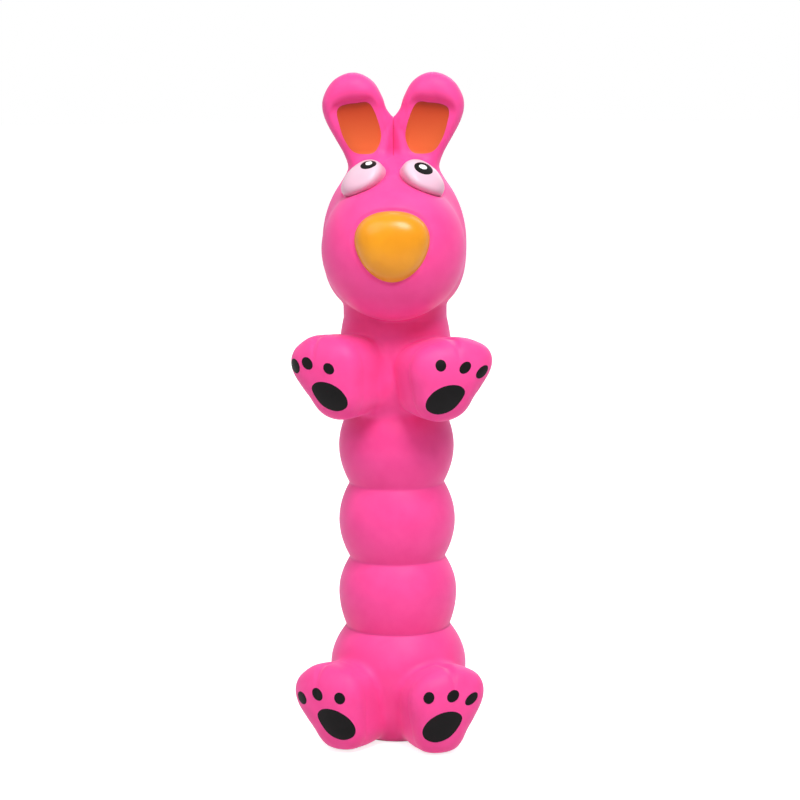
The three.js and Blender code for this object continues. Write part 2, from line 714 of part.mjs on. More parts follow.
// The head: skull, muzzle and a collar that meets the neck. Grow swells it.
function headForm(grow) {
  const skull = ball(
    onAxis(NECK_Z + SKULL_WIDEST_ABOVE_NECK), SKULL_HALF_WIDTH + grow, SKULL_HALF_DEPTH + grow,
    SKULL_RISE + grow, SKULL_DROP + grow, SKULL_LOW_POWER,
  );
  const muzzle = ball(
    new THREE.Vector3(0, -MUZZLE_FORWARD, NECK_Z + MUZZLE_ABOVE_NECK),
    MUZZLE_HALF_WIDTH + grow, MUZZLE_HALF_DEPTH + grow, MUZZLE_HALF_HEIGHT + grow,
    MUZZLE_HALF_HEIGHT + grow, ROUND_POWER,
  );
  const low = NECK_Z + CREASE_SPLIT / 2 - (grow < 0 ? CREASE_SPLIT : 0);
  const high = NECK_Z + COLLAR_HEIGHT;
  const collar = turned(
    [[0, low], [NECK_RADIUS + grow, low], [NECK_RADIUS + grow, high], [0, high]], BODY_SIDES,
  );
  const brow = ball(
    new THREE.Vector3(0, -BROW_FORWARD, NECK_Z + BROW_ABOVE_NECK), BROW_HALF_WIDTH + grow,
    BROW_HALF_DEPTH + grow, BROW_HALF_HEIGHT + grow, BROW_HALF_HEIGHT + grow, ROUND_POWER,
  );
  return skull.add(muzzle).add(brow).add(collar);
}

const rimZ = NECK_Z + CREASE_SPLIT / 2;
const earCutLow = EAR_FOLD_Z - EAR_SPLIT / 2;
const earCutHigh = EAR_FOLD_Z + EAR_SPLIT / 2;

// The neck's rim is cut level, but the chin hangs lower in front of it.
function headSkin() {
  const outer = headForm(0).add(earRoot(0).intersect(below(earCutLow)));
  const room = NECK_RADIUS + FOLD_FLARE + CLEARANCE;
  const neckHole = turned(
    [[0, NECK_Z - SKULL_DROP], [room, NECK_Z - SKULL_DROP], [room, rimZ], [0, rimZ]],
    BODY_SIDES,
  );
  return outer.subtract(neckHole).subtract(headForm(-SKIN_WALL)).intersect(below(earCutLow));
}

function headFill() {
  const wad = headForm(-SKIN_WALL - CLEARANCE);
  const top = earCutLow - SKIN_WALL - CLEARANCE;
  return wad.intersect(below(top)).intersect(above(rimZ));
}

// The level section of an ear: below the notch it runs past the middle line, where a
// cut divides the two ears.
function earSection(z, grow) {
  const lobeZ = EAR_FOLD_Z + EAR_HEIGHT - EAR_LOBE_RADIUS;
  const notchZ = EAR_FOLD_Z + EAR_HEIGHT - EAR_NOTCH_DEPTH;
  const rootZ = EAR_FOLD_Z;
  const lobeReach = EAR_LOBE_OUT + EAR_LOBE_RADIUS;
  let far = lobeReach;
  let near = -EAR_WEB;
  let depth = EAR_LOBE_DEPTH / 2;
  if (z >= lobeZ) {
    const half = Math.sqrt(Math.max(0, EAR_LOBE_RADIUS ** 2 - (z - lobeZ) ** 2));
    far = EAR_LOBE_OUT + half;
    near = EAR_LOBE_OUT - half;
    depth *= Math.sqrt(half / EAR_LOBE_RADIUS);
  } else {
    const fall = (lobeZ - z) / (lobeZ - rootZ);
    far = lobeReach - (lobeReach - EAR_ROOT_REACH) * fall ** EAR_TAPER_POWER;
    depth += ((EAR_ROOT_DEPTH - EAR_LOBE_DEPTH) / 2) * fall * fall;
    if (z > notchZ) {
      const rise = (z - notchZ) / (lobeZ - notchZ);
      near += (EAR_LOBE_OUT - EAR_LOBE_RADIUS + EAR_WEB) * rise;
    }
  }
  const climb = (z - rootZ) / EAR_HEIGHT;
  const centerY = -EAR_CURL * climb * climb;
  return { near, far: far + grow, depth: depth + grow, centerY };
}

function earLoft(levels, grow) {
  const rings = levels.map((z) => {
    const { near, far, depth, centerY } = earSection(z, grow);
    const middle = (near + far) / 2;
    const half = (far - near) / 2;
    const ring = [];
    for (let i = 0; i < OUTLINE_POINTS; i += 1) {
      const angle = (i / OUTLINE_POINTS) * 2 * Math.PI;
      const c = Math.cos(angle);
      const s = Math.sin(angle);
      const power = 2 / EAR_SECTION_POWER;
      ring.push(new THREE.Vector3(
        middle + Math.sign(c) * Math.abs(c) ** power * half,
        centerY + Math.sign(s) * Math.abs(s) ** power * depth,
        z,
      ));
    }
    return ring;
  });
  return loft(rings);
}

function leftOfMiddle() {
  return beyond(new THREE.Vector3(CLEARANCE, 0, EAR_FOLD_Z), new THREE.Vector3(1, 0, 0));
}

function earRoot(grow) {
  const half = earLoft([EAR_FOLD_Z - 2 * EAR_SPLIT, EAR_FOLD_Z + EAR_SPLIT], grow);
  return half.add(mirrored(half));
}

// The pocket in the front of the ear, as a prism that runs in from the front.
function pocketPrism(inset, floorY, thickness) {
  const reach = EAR_LOBE_OUT + EAR_LOBE_RADIUS;
  const corners = EAR_POCKET_SHARES.map(([u, v]) => new THREE.Vector2(
    u * reach, v * EAR_HEIGHT,
  ));
  const middle = new THREE.Vector2();
  for (const corner of corners) middle.addScaledVector(corner, 1 / corners.length);
  const points = corners.map((corner) => {
    const spoke = corner.clone().sub(middle);
    return spoke.setLength(spoke.length() - inset).add(middle);
  });
  const curve = new THREE.SplineCurve([...points, points[0]]);
  const shape = new THREE.Shape(curve.getPoints(OUTLINE_POINTS).slice(0, OUTLINE_POINTS));
  const prism = new THREE.ExtrudeGeometry(shape, { depth: thickness, bevelEnabled: false });
  prism.rotateX(Math.PI / 2);
  prism.translate(0, floorY, EAR_FOLD_Z);
  return solidOf(prism);
}

function earLevels() {
  const levels = [EAR_FOLD_Z];
  const lobeZ = EAR_FOLD_Z + EAR_HEIGHT - EAR_LOBE_RADIUS;
  const notchZ = EAR_FOLD_Z + EAR_HEIGHT - EAR_NOTCH_DEPTH;
  for (let i = 1; i <= STUB_ROWS; i += 1) {
    levels.push(EAR_FOLD_Z + ((notchZ - EAR_FOLD_Z) * i) / STUB_ROWS);
  }
  for (let i = 0; i <= DOME_ROWS; i += 1) {
    const angle = ((i / (DOME_ROWS + 1)) * Math.PI) / 2;
    levels.push(lobeZ + EAR_LOBE_RADIUS * Math.sin(angle));
  }
  levels.push(lobeZ + EAR_LOBE_RADIUS * Math.sqrt(1 - TIP_SHARE ** 2));
  return levels;
}

const pocketFloorY = -EAR_LOBE_DEPTH / 2 + EAR_POCKET_DEPTH;

function earSkin() {
  const whole = earLoft(earLevels(), 0).intersect(above(earCutHigh)).intersect(leftOfMiddle());
  return whole.subtract(pocketPrism(0, pocketFloorY, OVERRUN));
}

function earFold() {
  const rows = [EAR_FOLD_Z - EAR_SPLIT, EAR_FOLD_Z, EAR_FOLD_Z + EAR_SPLIT];
  return earLoft(rows, 0)
    .intersect(above(earCutLow + CLEARANCE))
    .intersect(below(earCutHigh - CLEARANCE))
    .intersect(leftOfMiddle());
}

const neckFold = bodyAt(chest, "neck_fold", onAxis(NECK_Z));
addPart(neckFold, "neck_fold_ring", foldRing(NECK_Z, NECK_RADIUS), materials.fold);
const head = bodyAt(neckFold, "head", onAxis(NECK_Z));
addPart(head, "head_skin", headSkin(), materials.latex);
addPart(head, "head_fill", headFill(), materials.fibre);

const ear = earSkin();
const fold = earFold();
const lining = pocketPrism(CLEARANCE, pocketFloorY - CLEARANCE, EAR_LINING);
for (const side of ["left", "right"]) {
  const flip = (solid) => (side === "left" ? solid : mirrored(solid));
  const body = bodyAt(head, `ear_${side}`, onAxis(EAR_FOLD_Z));
  addPart(body, `ear_skin_${side}`, flip(ear), materials.latex);
  addPart(body, `ear_fold_${side}`, flip(fold), materials.fold);
  addPart(body, `ear_lining_${side}`, flip(lining), materials.earPaint);
}

// The nose button sits on the front of the muzzle.
function noseForm() {
  const outline = outlineOf(
    NOSE_OUTLINE_SHARES, NOSE_HALF_WIDTH, NOSE_HALF_HEIGHT, OUTLINE_POINTS,
  );
  const frontY = -MUZZLE_FORWARD - MUZZLE_HALF_DEPTH;
  const z = NECK_Z + NOSE_ABOVE_NECK;
  const rings = [];
  const place = (y, share) => {
    rings.push(outline.map((p) => new THREE.Vector3(p.x * share, y, z + p.y * share)));
  };
  place(frontY + 2 * NOSE_EDGE, 1);
  for (let row = 0; row < DOME_ROWS; row += 1) {
    const angle = ((row / DOME_ROWS) * Math.PI) / 2;
    const y = frontY + NOSE_EDGE - (NOSE_EDGE + NOSE_PROUD) * Math.sin(angle);
    place(y, Math.sqrt(Math.cos(angle)));
  }
  place(frontY - NOSE_PROUD, TIP_SHARE);
  return loft(rings);
}

addPart(head, "nose", noseForm().subtract(headForm(CLEARANCE)), materials.nosePaint);

// The eyes, their pupils and the glint in each pupil.
function eyeForm(grow) {
  const form = new THREE.SphereGeometry(1, BALL_SIDES, BALL_ROWS);
  form.scale(EYE_HALF_WIDTH + grow, EYE_HALF_DEPTH + grow, EYE_HALF_HEIGHT + grow);
  form.rotateY(THREE.MathUtils.degToRad(EYE_SLOPE));
  form.translate(EYE_OUT, -EYE_FORWARD, NECK_Z + EYE_ABOVE_NECK);
  return solidOf(form);
}

const eyeHeart = new THREE.Vector3(EYE_OUT, -EYE_FORWARD, NECK_Z + EYE_ABOVE_NECK);
const gaze = directionOf(PUPIL_TURN, PUPIL_LIFT);
const eye = eyeForm(0).subtract(headForm(CLEARANCE)).subtract(earRoot(CLEARANCE));
const pupil = paintPatch(
  eyeForm(CLEARANCE + PAINT_FILM), eyeForm(CLEARANCE),
  ovalBeam(eyeHeart, gaze, PUPIL_HALF_WIDTH, PUPIL_HALF_HEIGHT, 0),
);
const glint = paintPatch(
  eyeForm(2 * CLEARANCE + 2 * PAINT_FILM), eyeForm(2 * CLEARANCE + PAINT_FILM),
  ovalBeam(eyeHeart, gaze, GLINT_HALF_WIDTH, GLINT_HALF_HEIGHT, 0),
);
for (const side of ["left", "right"]) {
  const flip = (solid) => (side === "left" ? solid : mirrored(solid));
  addPart(head, `eye_${side}`, flip(eye), materials.eyePaint);
  addPart(head, `pupil_${side}`, flip(pupil), materials.blackPaint);
  addPart(head, `glint_${side}`, flip(glint), materials.whitePaint);
}

// The origin is at the middle of the box that the toy stands in.
const box = new THREE.Box3().setFromObject(toy);
toy.position.y = -(box.min.y + box.max.y) / 2;

export default toy;
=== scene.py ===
import math
from itertools import product

import bmesh
import bpy
import numpy as np
from mathutils import Euler, Matrix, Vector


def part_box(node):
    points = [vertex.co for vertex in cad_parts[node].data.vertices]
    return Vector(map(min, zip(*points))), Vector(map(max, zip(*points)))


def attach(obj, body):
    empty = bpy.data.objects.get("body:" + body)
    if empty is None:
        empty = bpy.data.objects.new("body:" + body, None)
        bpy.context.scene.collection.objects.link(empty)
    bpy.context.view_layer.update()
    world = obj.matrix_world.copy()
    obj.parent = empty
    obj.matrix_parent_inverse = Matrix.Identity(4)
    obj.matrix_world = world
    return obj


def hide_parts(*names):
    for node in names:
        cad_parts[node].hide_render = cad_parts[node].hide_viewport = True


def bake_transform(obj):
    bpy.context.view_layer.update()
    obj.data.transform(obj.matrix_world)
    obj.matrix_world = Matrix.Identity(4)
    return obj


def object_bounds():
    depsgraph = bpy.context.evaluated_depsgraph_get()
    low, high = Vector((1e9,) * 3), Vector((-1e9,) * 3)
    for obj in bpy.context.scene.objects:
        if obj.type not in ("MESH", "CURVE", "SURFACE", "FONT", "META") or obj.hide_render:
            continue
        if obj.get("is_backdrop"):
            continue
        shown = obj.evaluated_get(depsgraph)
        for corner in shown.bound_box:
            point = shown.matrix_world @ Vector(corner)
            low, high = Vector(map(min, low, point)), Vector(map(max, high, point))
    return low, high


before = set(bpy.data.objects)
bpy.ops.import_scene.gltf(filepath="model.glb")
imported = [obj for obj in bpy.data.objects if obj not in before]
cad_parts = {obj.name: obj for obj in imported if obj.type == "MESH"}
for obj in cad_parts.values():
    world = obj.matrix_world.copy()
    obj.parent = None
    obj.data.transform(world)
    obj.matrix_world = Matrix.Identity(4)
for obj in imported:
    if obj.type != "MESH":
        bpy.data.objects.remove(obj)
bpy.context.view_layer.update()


# Hip and legs: the foot of the one latex skin, dipped in a mould. The hip stands on a
# flat base with a hole for the squeaker, and each leg is a stub with a broad, domed sole
# that is moulded in one with it. Sizes are in millimetres from the body's middle line.

MM = 0.001
belly_low, belly_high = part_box("low_belly_skin")
AXIS_Y = (belly_low.y + belly_high.y) / 2 / MM
SKIN_STEP = 0.6
SLOPE_SPAN = 0.02
LEAST_SLOPE = 0.2
EVENING_ROUNDS = 4
EVENING_SHARE = 0.6
LIP_DEPTH = 1.2

HIP = {"low": 0, "low_rim": 14.5, "widest": 21.5, "radius": 20.5, "high": 33.5, "high_rim": 15.6}
HIP_SHOULDER = 28.4
BASE_ROUNDING = 2.2
SQUEAKER_HOLE_RADIUS = 10.7
SQUEAKER_HOLE_DEPTH = 2.4
HOLE_ROUNDING = 0.5

LIMB_REACH = 26
LIMB_INSIDE = 9
SOLE_DOME = 7.6
SHOULDER_SHARE = 0.72
DOME_POWER = 2.5
LEG_FILLET = 2
LEGS = {
    "left": {
        "side": 1, "turn": 36.5, "sole_turn": 25, "sole_roll": 4, "height": 12.4,
        "half_width": 12, "half_height": 12.9,
    },
    "right": {
        "side": -1, "turn": 43.2, "sole_turn": 31, "sole_roll": -7, "height": 12.4,
        "half_width": 12.2, "half_height": 12.9,
    },
}
LEG_ROOT = 20.3
SOLE_SHARES = [
    (-0.8, -0.78), (-0.38, -1), (0.1, -0.92), (0.56, -0.36), (0.96, 0.24),
    (0.9, 0.72), (0.42, 1), (-0.28, 1), (-0.84, 0.72), (-0.97, 0.1),
]
TOE_CLEFTS = [{"angle": 84, "share": 0.06, "width": 5.5}, {"angle": 52, "share": 0.012, "width": 9}]
CLEFT_FADE = 7
OUTLINE_POINTS = 240
OUTLINE_WAVES = 7


def smooth_union(a, b, reach):
    """Both forms, with a fillet where they meet."""
    mix = np.maximum(reach - np.abs(a - b), 0) / reach
    return np.minimum(a, b) - mix * mix * reach / 4


def smooth_cut(a, b, reach):
    """What is left of form a when form b is cut out of it, with its edge rounded."""
    return -smooth_union(-a, b, reach)


def girth(zone, height):
    """The radius of a zone of the body at a height."""
    under = height < zone["widest"]
    end = np.where(under, zone["low"], zone["high"])
    rim = np.where(under, zone["low_rim"], zone["high_rim"])
    share = (height - zone["widest"]) / (end - zone["widest"])
    return zone["radius"] - (zone["radius"] - rim) * share * share


def barrel(zone, points):
    """How far outside a zone of the body each point is."""
    height = points[:, 2]
    slope = (girth(zone, height + SLOPE_SPAN) - girth(zone, height - SLOPE_SPAN)) / (2 * SLOPE_SPAN)
    return (np.hypot(points[:, 0], points[:, 1]) - girth(zone, height)) / np.hypot(1, slope)


def heading(turn, lift=0):
    """A direction by its turn from straight ahead towards the toy's left, and its lift."""
    yaw, pitch = math.radians(turn), math.radians(lift)
    flat = math.cos(pitch)
    return np.array([math.sin(yaw) * flat, -math.cos(yaw) * flat, math.sin(pitch)])


def closed_curve(shares, count):
    """A smooth closed curve through given points."""
    corners = np.array(shares, float)
    along = np.arange(count) * len(corners) / count
    start = along.astype(int)
    part = (along - start)[:, None]
    before, here, after, beyond = (np.roll(corners, shift, 0)[start] for shift in (1, 0, -1, -2))
    return 0.5 * (
        2 * here + (after - before) * part
        + (2 * before - 5 * here + 4 * after - beyond) * part ** 2
        + (3 * here - before - 3 * after + beyond) * part ** 3
    )


def outline_waves(shares):
    """The reach of a smooth outline round its middle, as a sum of waves."""
    curve = closed_curve(shares, OUTLINE_POINTS)
    turns = np.arctan2(curve[:, 1], curve[:, 0])
    waves = np.outer(turns, np.arange(1, OUTLINE_WAVES + 1))
    table = np.hstack([np.ones((OUTLINE_POINTS, 1)), np.cos(waves), np.sin(waves)])
    return np.linalg.lstsq(table, np.hypot(curve[:, 0], curve[:, 1]), rcond=None)[0]


def reach_at(waves, angle):
    """The reach of an outline in the direction of each angle."""
    return waves[0] + sum(
        waves[w] * np.cos(w * angle) + waves[OUTLINE_WAVES + w] * np.sin(w * angle)
        for w in range(1, OUTLINE_WAVES + 1)
    )


sole_waves = outline_waves(SOLE_SHARES)


def sole_rim(angle, fade):
    """The reach of the sole's outline at each angle, with the clefts between the toes."""
    rim = reach_at(sole_waves, angle)
    for cleft in TOE_CLEFTS:
        off = (np.degrees(angle) - cleft["angle"]) / cleft["width"]
        rim = rim * (1 - cleft["share"] * np.exp(-off * off) * fade)
    return rim


def paw(limb, points):
    """How far outside a paw each point is. The side is 1 for the toy's left and -1 for its right."""
    along, face = heading(limb["turn"]), heading(limb["sole_turn"])
    across = np.array([-face[1], face[0], 0])
    away = points * [limb["side"], 1, 1] - [0, 0, limb["height"]] - along * LIMB_REACH
    out = away @ face
    back = np.minimum(out, 0) / (along @ face)
    wide = (away @ across - back * (along @ across)) / limb["half_width"]
    lift = away[:, 2] / limb["half_height"]
    fade = np.clip(1 + back / CLEFT_FADE, 0, 1)
    angle = np.arctan2(lift, wide) - math.radians(limb["sole_roll"])
    share = np.hypot(wide, lift) / sole_rim(angle, fade * fade * (3 - 2 * fade))
    run = np.clip(1 + back / (LIMB_REACH - LIMB_INSIDE), 0, 1)
    swell = SHOULDER_SHARE + (1 - SHOULDER_SHARE) * np.sin(run * math.pi / 2)
    dome = np.maximum(out, 0) / SOLE_DOME
    whole = (share ** DOME_POWER + dome ** DOME_POWER) ** (1 / DOME_POWER)
    size = (limb["half_width"] + limb["half_height"]) / 2
    return np.maximum((whole - swell) * size, LIMB_INSIDE - LIMB_REACH - back)


def hip_and_legs(points):
    """How far outside the foot of the skin each point is."""
    form = barrel(HIP, points)
    for leg in LEGS.values():
        form = smooth_union(form, paw(leg, points), LEG_FILLET)
    form = smooth_cut(form, points[:, 2], BASE_ROUNDING)
    out = np.hypot(points[:, 0], points[:, 1])
    hole = np.maximum(out - SQUEAKER_HOLE_RADIUS, points[:, 2] - SQUEAKER_HOLE_DEPTH)
    return smooth_cut(form, hole, HOLE_ROUNDING)


def slope_of(form, points):
    """The direction in which a form falls away from each point."""
    steps = np.eye(3) * SLOPE_SPAN
    return np.stack([form(points + s) - form(points - s) for s in steps], 1) / (2 * SLOPE_SPAN)


def settle(form, points):
    """Draws points onto the surface of a form."""
    slope = slope_of(form, points)
    return points - slope * (form(points) / np.maximum((slope ** 2).sum(1), LEAST_SLOPE))[:, None]


def surface_of(form, low, high, step):
    """The surface of a form as points and quads: a point for each cell of a grid that
    the surface crosses, evened out and drawn onto it."""
    axes = [np.arange(a, b + step, step) for a, b in zip(low, high)]
    grid = np.stack(np.meshgrid(*axes, indexing="ij"), -1)
    size = grid.shape[:3]
    inside = form(grid.reshape(-1, 3)).reshape(size) < 0
    within = sum(
        inside[i:size[0] - 1 + i, j:size[1] - 1 + j, k:size[2] - 1 + k].astype(int)
        for i, j, k in product((0, 1), repeat=3)
    )
    crossed = (within > 0) & (within < 8)
    number = np.full(crossed.shape, -1)
    number[crossed] = np.arange(crossed.sum())
    points = grid[:-1, :-1, :-1][crossed] + step / 2
    quads = []
    for axis in range(3):
        turned, numbers = np.moveaxis(inside, axis, 0), np.moveaxis(number, axis, 0)
        start = turned[:-1, 1:-1, 1:-1]
        change = start != turned[1:, 1:-1, 1:-1]
        i, j, k = np.nonzero(change)
        around = [numbers[i, j, k], numbers[i, j + 1, k], numbers[i, j + 1, k + 1], numbers[i, j, k + 1]]
        four = np.stack(around, 1)
        backward = start[change] == (axis == 1)
        four[backward] = four[backward][:, ::-1]
        quads.append(four)
    quads = np.vstack(quads)
    ends = np.vstack([quads[:, [a, (a + 1) % 4]] for a in range(4)])
    near = np.bincount(ends[:, 0], minlength=len(points))[:, None]
    for _ in range(EVENING_ROUNDS):
        total = np.stack([np.bincount(ends[:, 0], points[ends[:, 1], c], len(points)) for c in range(3)], 1)
        points = settle(form, settle(form, points + EVENING_SHARE * (total / near - points)))
    return settle(form, points), [tuple(q) for q in quads]


def trimmed(skin, height, above):
    """The part of a surface above or below a level, cut exactly at it."""
    mesh = bmesh.new()
    corners = [mesh.verts.new(p) for p in skin[0]]
    for face in skin[1]:
        mesh.faces.new([corners[c] for c in face])
    everything = mesh.verts[:] + mesh.edges[:] + mesh.faces[:]
    bmesh.ops.bisect_plane(
        mesh, geom=everything, dist=1e-5, plane_co=(0, 0, height), plane_no=(0, 0, 1),
        clear_inner=above, clear_outer=not above,
    )
    mesh.verts.index_update()
    points = np.array([v.co[:] for v in mesh.verts])
    faces = [tuple(v.index for v in f.verts) for f in mesh.faces]
    mesh.free()
    return points, faces


def turned(points, turn):
    """Points or directions turned about the body's middle line."""
    c, s = math.cos(math.radians(turn)), math.sin(math.radians(turn))
    return points @ np.array([[c, s, 0], [-s, c, 0], [0, 0, 1]])


def piece_of(name, points, faces, normals, material, turn=0, side=1):
    """A Blender object in the frame's metres, shaded with its true surface normals. The side
    is -1 where the points are those of its mirror image."""
    mesh = bpy.data.meshes.new(name)
    if side < 0:
        points, normals, faces = points * [-1, 1, 1], normals * [-1, 1, 1], [f[::-1] for f in faces]
    placed = (turned(points, turn) + [0, AXIS_Y, 0]) * MM
    mesh.from_pydata(placed.tolist(), [], [list(map(int, f)) for f in faces])
    mesh.materials.append(material)
    mesh.shade_smooth()
    mesh.normals_split_custom_set_from_vertices(turned(normals, turn).tolist())
    piece = bpy.data.objects.new(name, mesh)
    bpy.context.scene.collection.objects.link(piece)
    return piece


def skin_piece(name, skin, form, keep, material, turn=0, side=1):
    """The faces of a surface whose middles the test keeps, with a lip turned in at every
    open edge so that the skin has its thickness there."""
    points, faces = skin
    middles = np.array([points[list(f)].mean(0) for f in faces])
    kept = [faces[i] for i in np.nonzero(keep(middles))[0]]
    used = sorted({c for f in kept for c in f})
    place = {c: i for i, c in enumerate(used)}
    faces = [tuple(place[c] for c in f) for f in kept]
    points = points[used]
    normals = slope_of(form, points)
    normals /= np.linalg.norm(normals, axis=1)[:, None]
    return lipped(name, points, faces, normals, material, turn, side)


def lipped(name, points, faces, normals, material, turn=0, side=1):
    """A piece of skin with its open edges turned in."""
    edges = {}
    for face in faces:
        for a, b in zip(face, face[1:] + face[:1]):
            if edges.pop((b, a), None) is None:
                edges[a, b] = True
    rim = sorted({c for edge in edges for c in edge})
    place = {c: len(points) + i for i, c in enumerate(rim)}
    faces = faces + [(b, a, place[a], place[b]) for a, b in edges]
    points = np.vstack([points, points[rim] - normals[rim] * LIP_DEPTH])
    return piece_of(name, points, faces, np.vstack([normals, normals[rim]]), material, turn, side)


def colour(code):
    """A linear colour from the code of the colour as it is seen."""
    seen = [int(code[i:i + 2], 16) / 255 for i in (0, 2, 4)]
    return [s / 12.92 if s <= 0.04045 else ((s + 0.055) / 1.055) ** 2.4 for s in seen] + [1]


def finish_of(name, tint, roughness):
    """A material with a principled shader, and its parts for the maker of the finish."""
    material = bpy.data.materials.new(name)
    material.use_nodes = True
    nodes, links = material.node_tree.nodes, material.node_tree.links
    shader = nodes["Principled BSDF"]
    shader.inputs["Base Color"].default_value = colour(tint)
    shader.inputs["Roughness"].default_value = roughness
    return material, nodes, links, shader


def mottle(nodes, links, shader, tints, scale):
    """Fine shifts of colour between two tints."""
    place = nodes.new("ShaderNodeTexCoord")
    cloud = nodes.new("ShaderNodeTexNoise")
    cloud.inputs["Scale"].default_value = scale
    cloud.inputs["Detail"].default_value = 3
    ramp = nodes.new("ShaderNodeValToRGB")
    ramp.color_ramp.elements[0].position = 0.35
    ramp.color_ramp.elements[0].color = colour(tints[0])
    ramp.color_ramp.elements[1].position = 0.65
    ramp.color_ramp.elements[1].color = colour(tints[1])
    links.new(place.outputs["Object"], cloud.inputs["Vector"])
    links.new(cloud.outputs["Fac"], ramp.inputs["Fac"])
    links.new(ramp.outputs["Color"], shader.inputs["Base Color"])


def grain(nodes, links, shader, scale, height):
    """A fine grain in the surface, with its height in millimetres."""
    place = nodes.new("ShaderNodeTexCoord")
    specks = nodes.new("ShaderNodeTexNoise")
    specks.inputs["Scale"].default_value = scale
    specks.inputs["Detail"].default_value = 2
    bump = nodes.new("ShaderNodeBump")
    bump.inputs["Strength"].default_value = 1
    bump.inputs["Distance"].default_value = height * MM
    links.new(place.outputs["Object"], specks.inputs["Vector"])
    links.new(specks.outputs["Fac"], bump.inputs["Height"])
    links.new(bump.outputs["Normal"], shader.inputs["Normal"])


def pink_latex():
    material, nodes, links, shader = finish_of("pink latex", "f94999", 0.5)
    mottle(nodes, links, shader, ("f74696", "fb4c9c"), 160)
    grain(nodes, links, shader, 2600, 0.02)
    shader.inputs["Subsurface Weight"].default_value = 0.12
    shader.inputs["Subsurface Radius"].default_value = (1.0, 0.25, 0.45)
    shader.inputs["Subsurface Scale"].default_value = 1.6 * MM
    shader.inputs["Specular IOR Level"].default_value = 0.22
    shader.inputs["Sheen Weight"].default_value = 0.16
    shader.inputs["Sheen Roughness"].default_value = 0.5
    shader.inputs["Sheen Tint"].default_value = colour("f0c8ff")
    return material


def past_root(points, limb, root):
    """Which points lie on a limb, beyond its root."""
    mirrored = points * [limb["side"], 1, 1]
    return (mirrored[:, 0] > 0) & (mirrored @ heading(limb["turn"]) > root)


latex = pink_latex()
hip_skin = trimmed(
    surface_of(hip_and_legs, (-32, -33, -1), (32, 23, 30), SKIN_STEP), HIP_SHOULDER, above=False
)
hip = skin_piece(
    "hip", hip_skin, hip_and_legs,
    lambda p: ~past_root(p, LEGS["left"], LEG_ROOT) & ~past_root(p, LEGS["right"], LEG_ROOT), latex,
)
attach(hip, "hip")
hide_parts("hip_skin")
for name, limb in LEGS.items():
    leg = skin_piece(f"leg_{name}", hip_skin, hip_and_legs, lambda p: past_root(p, limb, LEG_ROOT), latex)
    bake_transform(leg)
    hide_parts(f"leg_skin_{name}", f"leg_fold_{name}")


# Belly rings: three swelling rings of the same skin above the hip. They meet in narrow folds
# where the toy bends, so each ring is in two halves that turn towards the fold at their end.
# A narrow band of skin lies behind each fold and closes it when it opens.

LOW_BELLY = {"low": 33.5, "low_rim": 15.6, "widest": 44.1, "radius": 17.8, "high": 54.7, "high_rim": 14.3}
MID_BELLY = {"low": 54.7, "low_rim": 14.3, "widest": 66.1, "radius": 17.5, "high": 77.5, "high_rim": 14.2}
TOP_BELLY = {"low": 77.5, "low_rim": 14.2, "widest": 88.75, "radius": 17.3, "high": 100, "high_rim": 14.1}
TOP_BELLY_MIDDLE = 86
CHEST_FOLD_START = 93
RING_SIDES = 128
RING_ROWS = 14
FOLD_ROUNDING = 0.5
FOLD_BAND_REACH = 2
FOLD_BAND_DEPTH = 0.2


def fold_girth(zone, height):
    """The radius at a height, with the bottom of each fold rounded."""
    radius = girth(zone, height)
    for end in ("low", "high"):
        steep = 2 * (zone["radius"] - zone[f"{end}_rim"]) / abs(zone[end] - zone["widest"])
        off = np.minimum(np.abs(height - zone[end]), FOLD_ROUNDING)
        radius = radius + steep * (FOLD_ROUNDING - off) ** 2 / (2 * FOLD_ROUNDING)
    return radius


def ring_piece(name, zone, low, high, material):
    """A turned band of skin between two levels, with its rows closest near its ends."""
    turns = np.arange(RING_SIDES) * 2 * math.pi / RING_SIDES
    shares = (1 - np.cos(np.linspace(0, math.pi, RING_ROWS + 1))) / 2
    heights = low + (high - low) * shares
    radii = fold_girth(zone, heights)
    steps = SLOPE_SPAN / 2
    slopes = (fold_girth(zone, heights + steps) - fold_girth(zone, heights - steps)) / (2 * steps)
    points, normals, faces = [], [], []
    for row, (height, radius, slope) in enumerate(zip(heights, radii, slopes)):
        around = np.stack([np.cos(turns), np.sin(turns), 0 * turns], 1)
        points.append(around * radius + [0, 0, height])
        normals.append((around - [0, 0, slope]) / math.hypot(1, slope))
        if row:
            for i in range(RING_SIDES):
                a, b = (row - 1) * RING_SIDES + i, (row - 1) * RING_SIDES + (i + 1) % RING_SIDES
                faces.append((a, b, b + RING_SIDES, a + RING_SIDES))
    return lipped(name, np.vstack(points), faces, np.vstack(normals), material)


belly_halves = [
    ("hip_shoulder", HIP, HIP_SHOULDER, HIP["high"], "hip", "hip_fold", []),
    ("low_belly_lower", LOW_BELLY, LOW_BELLY["widest"], LOW_BELLY["low"], "low_belly", "hip_fold", []),
    ("low_belly_upper", LOW_BELLY, LOW_BELLY["widest"], LOW_BELLY["high"], "low_belly", "low_belly_fold",
     ["low_belly_skin"]),
    ("mid_belly_lower", MID_BELLY, MID_BELLY["widest"], MID_BELLY["low"], "mid_belly", "low_belly_fold", []),
    ("mid_belly_upper", MID_BELLY, MID_BELLY["widest"], MID_BELLY["high"], "mid_belly", "mid_belly_fold",
     ["mid_belly_skin"]),
    ("top_belly_lower", TOP_BELLY, TOP_BELLY_MIDDLE, TOP_BELLY["low"], "top_belly", "mid_belly_fold", []),
    ("top_belly_upper", TOP_BELLY, TOP_BELLY_MIDDLE, CHEST_FOLD_START, "top_belly", "top_belly_fold",
     ["top_belly_skin"]),
]
